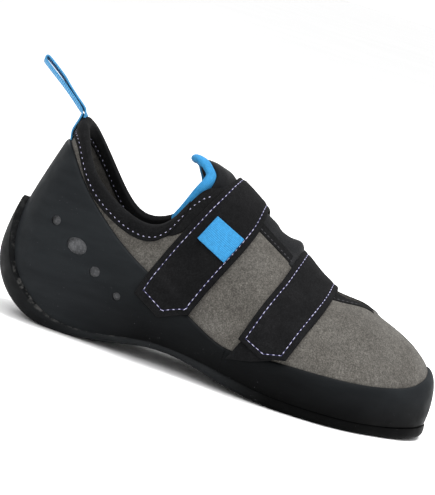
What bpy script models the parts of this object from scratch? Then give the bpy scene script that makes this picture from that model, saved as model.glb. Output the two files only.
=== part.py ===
"""Climbing shoe for the right foot: a suede upper on a cambered rubber sole, closed by two straps.

The shoe stands on its sole with its toe along +X, its outer (lateral) side along -Y and +Z up.
Sizes are in millimetres and are turned into metres where a point is placed. The last is a ring of
upright sections: they fan round the heel, cross the foot, and fan round the toe. Every layer of the
shoe is laid on those sections.
"""

import math
from collections import namedtuple
from functools import lru_cache

import bmesh
import bpy
import numpy as np
from mathutils import Vector

MM = 0.001

# Thicknesses and clearances
GAP = 0.35  # between two pieces that lie on each other
WALL = 2.0  # suede with its lining
RAND = 1.9  # rubber bands round toe and heel
RAND_GAP = 0.5  # between them and the upper
SOLE_STEP = 0.9  # air between the lasted upper and the sole
STRAP = 2.2
PAD = 0.8
LABEL = 0.8
INSOLE = 2.2
INSOLE_CLEAR = 0.7
TONGUE = 3.4
TONGUE_ROLL = 2.8  # radius of the rolled edge
WEBBING = 1.0

# Collar binding: how far it folds down each side, and how thick it is at its foot and at its rolled top
BINDING_DEEP = 8.0
BINDING_HEEL = 1.0  # how much deeper it is round the heel
BINDING_THIN = 1.0
BINDING_ROLL = 1.4

# Where rubber bands and binding end, counted in sections from the heel back
RAND_JOIN = 9.0
RAND_JOIN_GAP = 0.03
BINDING_END = 6.5

# How finely the ring of sections is cut
STEPS = 2  # columns from one section to the next
HEEL_STEPS = 3  # the same round the heel
HEEL_TURN = 3  # sections on each side that make up the heel's round
UPPER_ROWS = 10
ROW_CROWD = 1.5  # rows crowd towards the feather, where the sections bend most
BAND_CROWD = 1.3
SPINE_WELD = 0.6  # points this close on the spine are one

# Sections from the heel back to the toe tip. x and y place the section's spine, turn is its direction
# from straight ahead. Feather, belly and edge are distances from the spine: of the sole's edge, of the
# widest point and of the collar or throat, on the lateral and on the medial side. An edge below zero
# means that the vamp closes on the spine.
Plan = namedtuple("Plan", "x y turn lat_feather med_feather lat_belly med_belly lat_edge med_edge")
PLAN = [
    Plan(40, 0.0, 180, 7.0, 7.0, 35.8, 35.8, 17.0, 17.0),  # heel back
    Plan(40, 0.0, 150, 11.0, 11.0, 33.8, 33.8, 18.4, 18.4),  # heel quarter
    Plan(40, 0.0, 122, 16.0, 16.0, 30.8, 30.8, 21.0, 21.0),  # heel corner
    Plan(44, 0.0, 98, 20.0, 20.0, 29.5, 29.5, 24.0, 24.0),  # heel side
    Plan(60, 0.0, 90, 22.5, 22.0, 30.0, 29.2, 25.5, 25.0),  # below the ankle
    Plan(76, 0.4, 90, 25.0, 22.0, 31.6, 29.0, 26.3, 25.5),  # collar low point
    Plan(88, 0.9, 90, 27.0, 21.5, 33.4, 28.8, 24.5, 24.0),  # collar front
    Plan(99, 1.3, 90, 29.0, 21.5, 35.6, 28.8, 18.5, 18.5),  # throat top
    Plan(116, 2.2, 90, 33.0, 23.0, 39.0, 30.0, 14.0, 14.5),  # instep
    Plan(136, 3.2, 90, 38.0, 27.0, 43.5, 33.5, 13.0, 13.5),  # waist front
    Plan(156, 4.6, 90, 42.0, 31.0, 47.2, 36.4, 12.0, 12.5),  # behind the ball
    Plan(176, 6.5, 88, 44.5, 33.0, 49.3, 37.6, 9.0, 9.5),  # ball
    Plan(195, 8.5, 79, 42.5, 32.0, 47.0, 36.5, 3.0, 3.0),  # throat end
    Plan(205, 9.6, 60, 34.5, 32.0, 38.8, 36.2, -3.0, -3.0),  # toe side
    Plan(208, 10.0, 37, 32.8, 35.8, 35.6, 38.6, -4.0, -4.0),  # toe corner
    Plan(209, 10.0, 17, 34.0, 36.6, 36.2, 38.8, -4.0, -4.0),  # toe quarter
    Plan(209, 10.0, 0, 36.0, 36.0, 37.6, 37.6, -4.0, -4.0),  # toe tip
]

# Heights of the same sections: sole face, feather, belly, and collar or throat on both sides. A sole
# face below zero is cut flat at the floor. Lean is the wall's angle from upright at its edge, full the
# length of its curves.
Height = namedtuple("Height", "sole feather belly lat_edge med_edge lean full")
HEIGHTS = [
    Height(-0.4, 5.5, 35.0, 112.5, 112.5, 15, 0.27),
    Height(-0.4, 5.5, 34.0, 110.5, 111.0, 14, 0.27),
    Height(-0.4, 5.5, 32.0, 105.0, 106.0, 12, 0.27),
    Height(-0.4, 5.6, 30.0, 87.3, 92.0, 8, 0.30),
    Height(1.2, 6.1, 29.5, 74.2, 72.0, 6, 0.30),
    Height(4.4, 9.0, 29.5, 70.3, 70.3, 8, 0.30),
    Height(7.0, 11.4, 29.5, 78.3, 81.0, 14, 0.32),
    Height(8.4, 12.7, 29.0, 97.5, 98.5, 30, 0.33),
    Height(7.8, 12.2, 27.5, 98.0, 98.5, 44, 0.34),
    Height(4.0, 8.8, 24.5, 87.4, 87.8, 52, 0.35),
    Height(1.1, 6.4, 21.5, 75.4, 76.0, 55, 0.36),
    Height(-0.3, 5.6, 19.5, 64.2, 64.2, 66, 0.38),
    Height(-0.4, 5.5, 18.5, 62.2, 62.2, 84, 0.39),
    Height(-0.2, 5.5, 17.4, 59.0, 59.0, 79, 0.40),
    Height(0.3, 6.0, 17.0, 57.7, 57.7, 73, 0.43),
    Height(1.1, 6.8, 17.0, 57.3, 57.3, 69.5, 0.45),
    Height(1.5, 7.2, 17.0, 57.2, 57.2, 68.5, 0.45),
]

# Rubber on the same sections: height of the sole's upper edge, how far its side stands off the last,
# how square its lower corner is (0 round, 1 square), and the height of the toe or heel rubber's top on
# both sides.
Rubber = namedtuple("Rubber", "sole_edge side square lat_top med_top")
RUBBER = [
    Rubber(62.0, 6.0, 0.0, 99.5, 99.5),
    Rubber(36.0, 5.2, 0.0, 98.5, 98.5),
    Rubber(17.0, 4.0, 0.0, 92.6, 92.6),
    Rubber(8.4, 3.2, 0.0, 78.0, 78.0),
    Rubber(7.4, 3.0, 0.0, 61.5, 61.5),
    Rubber(10.2, 2.9, 0.0, 51.5, 51.5),
    Rubber(12.5, 2.9, 0.0, 45.5, 45.5),
    Rubber(13.8, 2.9, 0.0, 39.5, 39.5),
    Rubber(13.4, 2.8, 0.1, 31.0, 31.0),
    Rubber(11.0, 2.6, 0.45, 23.5, 24.0),
    Rubber(8.4, 2.6, 0.9, 24.5, 25.5),
    Rubber(7.2, 2.8, 1.0, 25.6, 27.0),
    Rubber(7.0, 3.0, 1.0, 26.2, 29.0),
    Rubber(7.2, 3.2, 1.0, 27.4, 33.0),
    Rubber(7.8, 3.4, 1.0, 29.6, 36.0),
    Rubber(8.6, 3.6, 1.0, 33.6, 37.8),
    Rubber(9.0, 3.6, 1.0, 36.6, 36.6),
]
SQUARE_CORNER = 6.0  # how crisp a square lower corner is

# Straps: where the centre line crosses the instep, how it leans back down both sides, how round it is
# over the top, its half width along the shoe and how much of that it loses over the top, the heights of
# its lateral and medial ends, how far its front corner is cut, and how its ends slope.
Strap = namedtuple("Strap", "top lean round half waist lat_end med_end corner skew")
STRAP_REAR = Strap(122.8, 0.49, 40.0, 13.9, 3.4, 28.1, 46.0, 8.8, 0.5)
STRAP_FRONT = Strap(168.6, 0.3, 30.0, 12.4, 0.5, 25.5, 33.0, 7.8, 0.4)
STRAP_SIDE = (16.0, 34.0)  # along a strap, where its cross lines settle to a height on the wall
STRAP_RAMP = 8.0  # height over which a strap climbs onto the rubber
STRAP_LEAD = 9.0  # and how far above the rubber it is all the way up
STRAP_SPARE = 0.5  # slack of a strap over the rubber
STRAP_GAP = 0.55
STRAP_SLACK = 0.45  # more of it under the front strap
STRAP_BLUNT = 0.15  # share of a strap's half width where that cut begins
PAD_SPAN = (22.0, 41.0)  # heights between which the fastening patch lies
PAD_FADE = 18.0  # length over which the strap comes down from the patch
PAD_SHIFT = -3.0  # its lower end sits this far behind the strap
PAD_SKEW = -0.2
LABEL_SPAN = (69.3, 82.7)
LABEL_HALF = 8.8
LABEL_SKEW = 0.45
LABEL_SHIFT = 2.2

# Round cut-outs of the heel rubber, seen from the side: centre, length, height, and slope of the long side.
CutOut = namedtuple("CutOut", "x z long high slope")
CUT_OUTS = [
    CutOut(28.0, 58.5, 5.2, 5.2, 0),
    CutOut(43.0, 49.0, 11.4, 8.6, -12),
    CutOut(56.4, 38.9, 5.8, 5.8, 0),
    CutOut(71.6, 30.2, 4.4, 4.4, 0),
]

# Tongue: under the throat each row is a place along the shoe and half its width along the curve. Its
# free edge runs from its lateral end inside the collar over the top to its medial end.
TONGUE_UNDER = [(198, 9), (188, 15), (174, 19), (154, 22), (134, 23), (109, 21)]
UNDER_ROWS = 10
TONGUE_EDGE = [
    (88.5, -15.9, 75.0),
    (93.4, -14.6, 83.0),
    (98.0, -13.0, 92.0),
    (101.4, -11.4, 100.0),
    (101.6, -8.6, 106.6),
    (97.0, -4.8, 111.0),
    (91.6, 0.6, 112.0),
    (90.2, 5.6, 110.4),
    (92.8, 9.8, 106.0),
    (96.8, 12.8, 100.6),
    (97.6, 14.8, 93.4),
    (93.5, 16.2, 85.5),
    (88.6, 17.3, 78.0),
]
TONGUE_ARCH = 1.8  # how much the free part is arched between the throat and its edge
TONGUE_SINK = 0.4  # how far the padding lies below a line over the throat
TONGUE_CLEAR = 1.8  # air between tongue and wall

# Pull loop: outside the collar its route is a distance below the collar's edge and a lift off the
# last, then it is free, out to its tip and back to the top of the binding, a little twisted.
LOOP_WIDE = 10.0
LOOP_TWIST = 24  # degrees
LOOP_ACROSS = (0.61, 0.0, 0.79)  # square to the free part's run
LOOP_OUTSIDE = [(12.6, 0.5), (10.6, 1.6), (8.2, 2.4), (4.0, 2.5), (0.5, 2.5)]
LOOP_FREE = [
    (20.5, 115.2),
    (17.7, 118.2),
    (8.4, 125.6),
    (-1.8, 132.7),
    (-6.4, 135.9),
    (-7.4, 137.0),
    (-6.1, 137.6),
    (4.0, 130.7),
    (9.0, 126.2),
    (14.0, 122.0),
    (19.0, 118.3),
    (22.2, 116.7),
    (23.4, 115.3),
]

# Colours as seen: suede, rubber, black leather and webbing blue
SUEDE = (0.155, 0.145, 0.125)
RUBBER_BLACK = (0.008, 0.008, 0.010)
BLACK_SUEDE = (0.012, 0.011, 0.010)
BLUE = (0.045, 0.340, 0.780)
FOOTBED = (0.050, 0.048, 0.046)

HEEL = len(PLAN) - 1
RING = 2 * HEEL
BACK = HEEL - HEEL_TURN
RING_PLACES = [
    *(k / STEPS for k in range(BACK * STEPS)),
    *(BACK + k / HEEL_STEPS for k in range(2 * HEEL_TURN * HEEL_STEPS)),
    *(RING - BACK + k / STEPS for k in range(BACK * STEPS + 1)),
]


def closed_curve(values):
    """A smooth closed curve through evenly spaced values, as a function of the place along them."""
    values = np.asarray(values, float)
    count = len(values)
    eye = np.eye(count)
    spread = 4 * eye + np.roll(eye, 1, axis=0) + np.roll(eye, -1, axis=0)
    bend = np.linalg.solve(spread, 6 * (np.roll(values, -1) - 2 * values + np.roll(values, 1)))

    def at(place):
        start = math.floor(place)
        after = place - start
        before = 1 - after
        i, j = start % count, (start + 1) % count
        curved = (before**3 - before) * bend[i] + (after**3 - after) * bend[j]
        return before * values[i] + after * values[j] + curved / 6

    return at


def open_curve(points):
    """A smooth curve through a few points, as a function that runs from 0 to 1 along them."""
    points = [Vector(point) for point in points]

    def at(share):
        place = min(max(share, 0.0), 1.0) * (len(points) - 1)
        i = min(int(place), len(points) - 2)
        t = place - i
        p1, p2 = points[i], points[i + 1]
        p0 = points[i - 1] if i else p1 * 2 - p2
        p3 = points[i + 2] if i + 2 < len(points) else p2 * 2 - p1
        bend = (p0 * 2 - p1 * 5 + p2 * 4 - p3) * t**2
        twist = (p1 * 3 - p0 - p2 * 3 + p3) * t**3
        return (p1 * 2 + (p2 - p0) * t + bend + twist) / 2

    return at


def ring_of(table, lateral, medial=None):
    """One column of a table as a closed curve, along the lateral side and back along the medial side."""
    lat = [getattr(row, lateral) for row in table]
    med = [getattr(row, medial or lateral) for row in table]
    return closed_curve(lat[::-1] + med[1:-1])


def heading_of_ring():
    """Each section's direction, without the even turn that the ring makes."""
    lat = [-row.turn for row in PLAN][::-1]
    med = [row.turn - 360 for row in PLAN][1:-1]
    even = 360 / RING
    return closed_curve([turn + even * place for place, turn in enumerate(lat + med)])


SPINE_X = ring_of(PLAN, "x")
SPINE_Y = ring_of(PLAN, "y")
HEADING = heading_of_ring()
FEATHER = ring_of(PLAN, "lat_feather", "med_feather")
BELLY = ring_of(PLAN, "lat_belly", "med_belly")
EDGE = ring_of(PLAN, "lat_edge", "med_edge")
SOLE_Z = ring_of(HEIGHTS, "sole")
FEATHER_Z = ring_of(HEIGHTS, "feather")
BELLY_Z = ring_of(HEIGHTS, "belly")
EDGE_Z = ring_of(HEIGHTS, "lat_edge", "med_edge")
LEAN = ring_of(HEIGHTS, "lean")
FULL = ring_of(HEIGHTS, "full")
SOLE_EDGE = ring_of(RUBBER, "sole_edge")
SOLE_SIDE = ring_of(RUBBER, "side")
SQUARE = ring_of(RUBBER, "square")
RUBBER_TOP = ring_of(RUBBER, "lat_top", "med_top")


def smooth_step(share):
    share = min(max(share, 0.0), 1.0)
    return share * share * (3 - 2 * share)


def place(w, reach, height):
    """A point of section w, at this distance from its spine."""
    turn = math.radians(HEADING(w) - 360 / RING * w)
    return Vector((SPINE_X(w) + reach * math.cos(turn), SPINE_Y(w) + reach * math.sin(turn), height))


@lru_cache(maxsize=None)
def rib(w):
    """Section w of the last from feather to edge: reach, height, length so far and the way out."""
    feather, belly, edge = FEATHER(w), BELLY(w), max(0.0, EDGE(w))
    low, mid, high = FEATHER_Z(w), BELLY_Z(w), EDGE_Z(w)
    quarter = np.linspace(0, math.pi / 2, 25)
    lean = math.radians(LEAN(w))
    hold = FULL(w) * math.hypot(belly - edge, high - mid)
    t = np.linspace(0, 1, 33)[1:]
    share = [(1 - t) ** 3, 3 * t * (1 - t) ** 2, 3 * t**2 * (1 - t), t**3]
    reaches = (belly, belly, edge + hold * math.sin(lean), edge)
    heights = (mid, mid + hold, high - hold * math.cos(lean), high)
    reach = np.append(
        feather + (belly - feather) * np.sin(quarter), sum(a * b for a, b in zip(share, reaches))
    )
    height = np.append(mid - (mid - low) * np.cos(quarter), sum(a * b for a, b in zip(share, heights)))
    run = np.append(0, np.cumsum(np.hypot(np.diff(reach), np.diff(height))))
    out_r, out_z = np.gradient(height, run), -np.gradient(reach, run)
    if edge == 0:
        out_r = out_r * np.clip(reach / 6, 0, 1)
    size = np.hypot(out_r, out_z)
    return reach, height, run, out_r / size, out_z / size


def on_rib(w, share, lift=0.0, past=0.0):
    """Reach and height at this share of section w, lifted off the last, and carried past its edge."""
    reach, height, run, out_r, out_z = rib(w)
    length = share * run[-1]
    r, z, n_r, n_z = (np.interp(length, run, column) for column in (reach, height, out_r, out_z))
    return float(r + lift * n_r - past * n_z), float(z + lift * n_z + past * n_r)


def on_last(w, share, lift=0.0, past=0.0):
    return place(w, *on_rib(w, share, lift, past))


def share_at(w, height):
    """The share of section w at which it reaches this height."""
    _, heights, run, _, _ = rib(w)
    return float(np.interp(height, np.maximum.accumulate(heights), run) / run[-1])


def share_back(w, share, distance):
    """The share of section w that lies this distance below another."""
    return share - distance / rib(w)[2][-1]


STATION_X = np.array([SPINE_X(HEEL + s) for s in np.linspace(2.6, HEEL - 2, 400)])


def station_at(x):
    """How many sections from the heel back the spine is at x."""
    return float(np.interp(x, STATION_X, np.linspace(2.6, HEEL - 2, 400)))


@lru_cache(maxsize=None)
def across(x):
    """The line over the shoe at x from feather to feather, and its length from the throat's middle."""
    station = station_at(x)
    sides = []
    for w in (HEEL - station, HEEL + station):
        reach, height, _, _, _ = rib(w)
        sides.append(np.array([place(w, r, z) for r, z in zip(reach, height)]))
    lateral, medial = sides
    ends = [side[-1] for side in sides]
    ways = [(side[-1] - side[-3]) / np.linalg.norm(side[-1] - side[-3]) for side in sides]
    hold = 0.37 * np.linalg.norm(ends[1] - ends[0])
    t = np.linspace(0, 1, 17)[:, None]
    bridge = (
        (1 - t) ** 3 * ends[0]
        + 3 * t * (1 - t) ** 2 * (ends[0] + hold * ways[0])
        + 3 * t**2 * (1 - t) * (ends[1] + hold * ways[1])
        + t**3 * ends[1]
    )
    line = np.vstack([lateral[:-1], bridge, medial[-2::-1]])
    run = np.append(0, np.cumsum(np.linalg.norm(np.diff(line, axis=0), axis=1)))
    keep = np.append(True, np.diff(run) > 1e-6)
    line, run = line[keep], run[keep]
    middle = np.linalg.norm(np.diff(lateral[:-1], axis=0), axis=1).sum()
    middle += np.linalg.norm(lateral[-1] - lateral[-2])
    gap = np.linalg.norm(np.diff(bridge, axis=0), axis=1).sum()
    way = np.gradient(line, run, axis=0)
    out = np.cross((1, 0, 0), way)
    out /= np.linalg.norm(out, axis=1)[:, None]
    return line, run - middle - gap / 2, out, gap / 2


def over(x, along, lift=0.0):
    """A point over the shoe at x, this far along the curve from the throat's middle, lateral below zero."""
    line, run, out, _ = across(round(x, 3))
    point = [np.interp(along, run, line[:, axis]) for axis in range(3)]
    way = [np.interp(along, run, out[:, axis]) for axis in range(3)]
    return Vector(point) + Vector(way) * float(lift)


def material(name, colour, roughness):
    made = bpy.data.materials.new(name)
    made.use_nodes = True
    shader = made.node_tree.nodes["Principled BSDF"]
    shader.inputs["Base Color"].default_value = (*colour, 1)
    shader.inputs["Roughness"].default_value = roughness
    made.diffuse_color = (*colour, 1)
    return made


def add_object(name, mesh, finish):
    piece = bpy.data.objects.new(name, mesh)
    mesh.materials.append(finish)
    bpy.context.scene.collection.objects.link(piece)
    piece.parent = ROOT
    return piece


def laid_grid(columns, rows, lay):
    """A grid whose points lay(column share, row share) puts in place, with doubled points joined."""
    grid = bmesh.new()
    bmesh.ops.create_grid(grid, x_segments=columns, y_segments=rows, size=0.5)
    for vert in grid.verts:
        vert.co = lay(vert.co.x + 0.5, vert.co.y + 0.5) * MM
    bmesh.ops.remove_doubles(grid, verts=grid.verts, dist=0.01 * MM)
    return grid


def finish_mesh(grid, name):
    mesh = bpy.data.meshes.new(name)
    grid.to_mesh(mesh)
    grid.free()
    mesh.shade_smooth()
    mesh.set_sharp_from_angle(angle=math.radians(50))
    return mesh


def sheet(name, columns, rows, lay, thick, finish, even=True):
    """A sheet laid on the shoe and thickened to one side, with its corners at full thickness if even."""
    grid = laid_grid(columns, rows, lay)
    bmesh.ops.reverse_faces(grid, faces=grid.faces)
    piece = add_object(name, finish_mesh(grid, name), finish)
    wall = piece.modifiers.new("wall", "SOLIDIFY")
    wall.thickness = thick * MM
    wall.offset = 1
    wall.use_even_offset = even
    return piece


def between(name, places, rows, lay_inner, lay_outer, finish):
    """A solid between two surfaces, each laid from a place on the ring and a share of its rows."""
    grid = bmesh.new()
    bmesh.ops.create_grid(grid, x_segments=len(places) - 1, y_segments=rows, size=0.5)
    ring_layer = grid.verts.layers.float.new("ring")
    up_layer = grid.verts.layers.float.new("up")
    for vert in grid.verts:
        vert[ring_layer] = places[round((vert.co.x + 0.5) * (len(places) - 1))]
        vert[up_layer] = round((vert.co.y + 0.5) * rows) / rows
        vert.co = lay_inner(vert[ring_layer], vert[up_layer]) * MM
    bmesh.ops.remove_doubles(grid, verts=grid.verts, dist=0.01 * MM)
    ends = [vert for vert in grid.verts if vert[up_layer] < 0.001 or vert[up_layer] > 0.999]
    bmesh.ops.remove_doubles(grid, verts=ends, dist=SPINE_WELD * MM)
    made = bmesh.ops.extrude_face_region(grid, geom=grid.faces[:], use_keep_orig=True)
    for vert in (item for item in made["geom"] if isinstance(item, bmesh.types.BMVert)):
        vert.co = lay_outer(vert[ring_layer], vert[up_layer]) * MM
    bmesh.ops.recalc_face_normals(grid, faces=grid.faces)
    return add_object(name, finish_mesh(grid, name), finish)


def swept(name, columns, sides, lay, finish):
    """A closed profile swept along a line and capped at both ends."""
    grid = laid_grid(columns, sides, lay)
    bmesh.ops.holes_fill(grid, edges=grid.edges, sides=0)
    bmesh.ops.recalc_face_normals(grid, faces=grid.faces)
    return add_object(name, finish_mesh(grid, name), finish)


def flat_floor(height):
    """Sole heights below the floor are cut flat."""
    return max(0.0, height)


def sole_edge_share(w):
    """The share of section w that the sole's side covers."""
    return share_at(w, max(SOLE_EDGE(w), FEATHER_Z(w) + 1.0))


def sole_side(w, share):
    """The sole's outer face in section w, from the feather's foot at 0 to its upper edge at 1."""
    floor = flat_floor(SOLE_Z(w))
    thick = FEATHER_Z(w) - floor
    lift = thick + (SOLE_SIDE(w) - thick) * smooth_step(share)
    round_r, round_z = on_rib(w, share * sole_edge_share(w), lift)
    edge_r, edge_z = on_rib(w, sole_edge_share(w), SOLE_SIDE(w))
    turn = share * math.pi / 2
    power = 2 / SQUARE_CORNER
    square_r = FEATHER(w) + (edge_r - FEATHER(w)) * math.sin(turn) ** power
    square_z = edge_z - (edge_z - floor) * max(math.cos(turn), 0.0) ** power
    square = min(max(SQUARE(w), 0.0), 1.0)
    return round_r + square * (square_r - round_r), max(0.0, round_z + square * (square_z - round_z))


SOLE_FLAT_ROWS = 2
SOLE_SIDE_ROWS = 8
SOLE_TURN = SOLE_FLAT_ROWS / (SOLE_FLAT_ROWS + SOLE_SIDE_ROWS)


def sole_under(w, row):
    """The sole's walking face and side."""
    if row <= SOLE_TURN:
        return place(w, row / SOLE_TURN * FEATHER(w), flat_floor(SOLE_Z(w)))
    return place(w, *sole_side(w, (row - SOLE_TURN) / (1 - SOLE_TURN)))


def sole_over(w, row):
    """The sole's inside, a step below the lasted upper."""
    if row <= SOLE_TURN:
        return place(w, row / SOLE_TURN * FEATHER(w), FEATHER_Z(w) - SOLE_STEP)
    return on_last(w, (row - SOLE_TURN) / (1 - SOLE_TURN) * sole_edge_share(w), SOLE_STEP)


def make_outsole(rubber):
    between("outsole", RING_PLACES, SOLE_FLAT_ROWS + SOLE_SIDE_ROWS, sole_under, sole_over, rubber)


def make_upper(suede):
    """One hollow wall on the last, open underneath, at the collar and along the throat."""

    def face(lift):
        return lambda w, row: on_last(w, row**ROW_CROWD, lift)

    between("upper", RING_PLACES, UPPER_ROWS, face(0.0), face(-WALL), suede)


def ring_span(first, last):
    """Places along the ring from first to last: its ends, and the upper's own places between them."""
    clear = 0.3 / STEPS
    turns = [*RING_PLACES[:-1], *(w + RING for w in RING_PLACES)]
    return [first, *(w for w in turns if first + clear < w < last - clear), last]


def rubber_band(name, first, last, rows, rubber):
    """A rubber band on the last from the sole's edge to its own top, between two sections of the ring."""

    def face(lift):
        def at(w, row):
            low = sole_edge_share(w) + GAP / rib(w)[2][-1]
            high = share_at(w, RUBBER_TOP(w))
            return on_last(w, low + row**BAND_CROWD * (high - low), lift)

        return at

    return between(name, ring_span(first, last), rows, face(RAND_GAP), face(RAND_GAP + RAND), rubber)


def make_toe_rand(rubber):
    station = RAND_JOIN + RAND_JOIN_GAP
    rubber_band("toe_rand", HEEL + station, RING + HEEL - station, 5, rubber)


def make_cut_out(number, cut):
    """A round bar across the heel that cuts both sides of its rubber."""
    bar = bmesh.new()
    bmesh.ops.create_cone(
        bar, cap_ends=True, segments=16, radius1=0.5, radius2=0.5, depth=2 * BELLY(HEEL + 4) * 1.5
    )
    bmesh.ops.scale(bar, vec=(cut.long, cut.high, 1), verts=bar.verts)
    bmesh.ops.scale(bar, vec=(MM, MM, MM), verts=bar.verts)
    piece = bpy.data.objects.new(f"cut_out_{number}", finish_mesh(bar, f"cut_out_{number}"))
    bpy.context.scene.collection.objects.link(piece)
    piece.parent = ROOT
    piece.rotation_euler = (math.radians(90), math.radians(-cut.slope), 0)
    piece.location = (cut.x * MM, 0, cut.z * MM)
    piece.hide_render = True
    piece.display_type = "WIRE"
    return piece


def make_heel_rand(rubber):
    band = rubber_band("heel_rand", HEEL - RAND_JOIN, HEEL + RAND_JOIN, 8, rubber)
    for number, cut in enumerate(CUT_OUTS):
        hole = band.modifiers.new(f"cut_out_{number}", "BOOLEAN")
        hole.operation = "DIFFERENCE"
        hole.object = make_cut_out(number, cut)


# The binding's inside lies this far off the last, outside the wall and inside it
BINDING_OUT = GAP + 0.25
BINDING_IN = -WALL - GAP - 0.25


def binding_profile():
    """The folded binding round the collar's edge, each point a lift off the last and a distance past it.

    It runs from the outer foot over the rolled top to the inner foot, and back along its inside.
    """
    middle = (BINDING_OUT + BINDING_IN) / 2
    outer, inner = BINDING_OUT + BINDING_ROLL, BINDING_IN - BINDING_ROLL
    return [
        (BINDING_OUT, -BINDING_DEEP),
        (BINDING_OUT + BINDING_THIN, -BINDING_DEEP),
        (outer, -BINDING_DEEP / 2),
        (outer, -0.6),
        (outer - 1.1, 1.2),
        (middle, GAP + BINDING_ROLL),
        (inner + 1.1, 1.2),
        (inner, -0.6),
        (inner, -BINDING_DEEP / 2),
        (BINDING_IN - BINDING_THIN, -BINDING_DEEP),
        (BINDING_IN, -BINDING_DEEP),
        (BINDING_IN, GAP),
        (BINDING_OUT, GAP),
    ]


def binding_stretch(w):
    """How much deeper than its profile the binding is in section w."""
    return 1 + BINDING_HEEL / BINDING_DEEP * (1 - smooth_step((abs(w - HEEL) - 2.5) / 2.5))


def make_collar_binding(leather):
    profile = binding_profile()
    profile.append(profile[0])
    places = ring_span(HEEL - BINDING_END, HEEL + BINDING_END)

    def lay(column, row):
        w = places[round(column * (len(places) - 1))]
        lift, past = profile[round(row * (len(profile) - 1))]
        down = max(-past, 0.0) * binding_stretch(w)
        return on_last(w, share_back(w, 1.0, down), lift, max(past, 0.0))

    swept("collar_binding", len(places) - 1, len(profile) - 1, lay, leather)


def make_insole(footbed):
    """A footbed that lies on the upper's turned-in margin and stays clear of the wall."""
    clear = WALL + INSOLE_CLEAR

    def lay(height):
        def at(w, row):
            reach, level, _, out_r, out_z = rib(w)
            under = FEATHER_Z(w) + clear
            edge = float(np.interp(under, level - clear * out_z, reach - clear * out_r))
            return place(w, row * max(edge - INSOLE_CLEAR, INSOLE_CLEAR), under + height)

        return at

    between("insole", RING_PLACES, 2, lay(0.0), lay(INSOLE), footbed)


def strap_x(strap, along):
    return strap.top - strap.lean * (math.hypot(along, strap.round) - strap.round)


def strap_lift(x, along):
    """How far a strap stands off the last: it climbs onto the rubber at its ends."""
    station = station_at(x)
    w = HEEL + math.copysign(station, along)
    rise = RUBBER_TOP(w) + STRAP_LEAD + STRAP_RAMP - over(x, along).z
    return STRAP_GAP + (RAND + RAND_GAP + STRAP_SPARE) * smooth_step(rise / STRAP_RAMP)


def along_at(strap, side, height):
    """How far along a strap its centre line comes down to this height."""
    steps = np.linspace(2, 120, 237)
    levels = [over(strap_x(strap, side * step), side * step).z for step in steps]
    return side * float(np.interp(-height, -np.array(levels), steps))


def along_on_side(x, side, height):
    """How far along the line over the shoe at x its lateral (-1) or medial (1) wall has this height."""
    line, run, _, throat = across(round(x, 3))
    wall = run * side > throat
    order = np.argsort(line[wall, 2])
    return float(np.interp(height, line[wall, 2][order], run[wall][order]))


def strap_grid(strap, low, high, half, extra, shift=0.0, sweep=0.0):
    """Lays a band along a strap between two places, with a cut corner at the lateral end.

    Extra tells how far it is raised at each place, shift moves it along the shoe, and sweep moves its
    lateral end alone.
    """
    settle, settled = STRAP_SIDE

    def lay(column, row):
        across_share = 2 * row - 1
        cut = strap.corner * max(0.0, across_share - STRAP_BLUNT) / (1 - STRAP_BLUNT)
        start = low + cut
        along = start + column * (high - start)
        wide = half - strap.waist * math.exp(-((along / 20) ** 2))
        middle = strap_x(strap, along)
        x = middle + across_share * wide + shift + sweep * (1 - column)
        hold = smooth_step((abs(along) - settle) / (settled - settle))
        if hold > 0:
            height = over(middle, along).z - strap.skew * (x - middle)
            along += hold * (along_on_side(x, math.copysign(1, along), height) - along)
        return over(x, along, strap_lift(x, along) + extra(along))

    return lay


def level(height):
    """The same raise all along a strap."""
    return lambda along: height


def make_strap(name, strap, columns, extra, leather):
    low, high = along_at(strap, -1, strap.lat_end), along_at(strap, 1, strap.med_end)
    sheet(name, columns, 4, strap_grid(strap, low, high, strap.half, extra), STRAP, leather)


def make_straps(leather):
    patch_end = along_at(STRAP_FRONT, -1, PAD_SPAN[1]) + PAD_FADE

    def over_patch(along):
        return STRAP_SLACK + (PAD + STRAP_GAP) * smooth_step((patch_end - along) / PAD_FADE)

    make_strap("strap_rear", STRAP_REAR, 28, level(0.0), leather)
    make_strap("strap_front", STRAP_FRONT, 28, over_patch, leather)


def make_strap_pad(leather):
    low, high = (along_at(STRAP_FRONT, -1, height) for height in PAD_SPAN)
    patch = STRAP_FRONT._replace(corner=2.0, skew=PAD_SKEW)
    lay = strap_grid(patch, low, high, patch.half - 1.0, level(0.0), sweep=PAD_SHIFT)
    sheet("strap_pad", 4, 6, lay, PAD, leather)


def make_label(webbing):
    low, high = (along_at(STRAP_REAR, -1, height) for height in LABEL_SPAN)
    plain = STRAP_REAR._replace(corner=0.0, skew=LABEL_SKEW)
    lay = strap_grid(plain, low, high, LABEL_HALF, level(STRAP + STRAP_GAP), LABEL_SHIFT)
    sheet("label", 4, 4, lay, LABEL, webbing)


def tongue_rows(shares):
    """The tongue's rows from its hidden front end to its top, each from its lateral to its medial side."""
    rows = []
    places, halves = zip(*TONGUE_UNDER[::-1])
    for x in np.linspace(places[-1], places[0], UNDER_ROWS):
        half = np.interp(x, places, halves)
        throat = across(float(x))[3]
        row = []
        for share in shares:
            along = share * half
            open_share = smooth_step((throat - 2 - abs(along)) / max(throat, 1.0))
            lift = -(WALL + TONGUE_CLEAR) + (WALL + TONGUE_CLEAR - TONGUE_SINK) * open_share
            row.append(over(x, along, lift))
        rows.append(row)
    brim = open_curve(TONGUE_EDGE)
    edge = [brim((share + 1) / 2) for share in shares]
    arch = [Vector((0, 0, TONGUE_ARCH * math.cos(share * math.pi / 2))) for share in shares]
    rows.append([(under + rim) / 2 + rise for under, rim, rise in zip(rows[-1], edge, arch)])
    rows.append(edge)
    return rows


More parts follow.
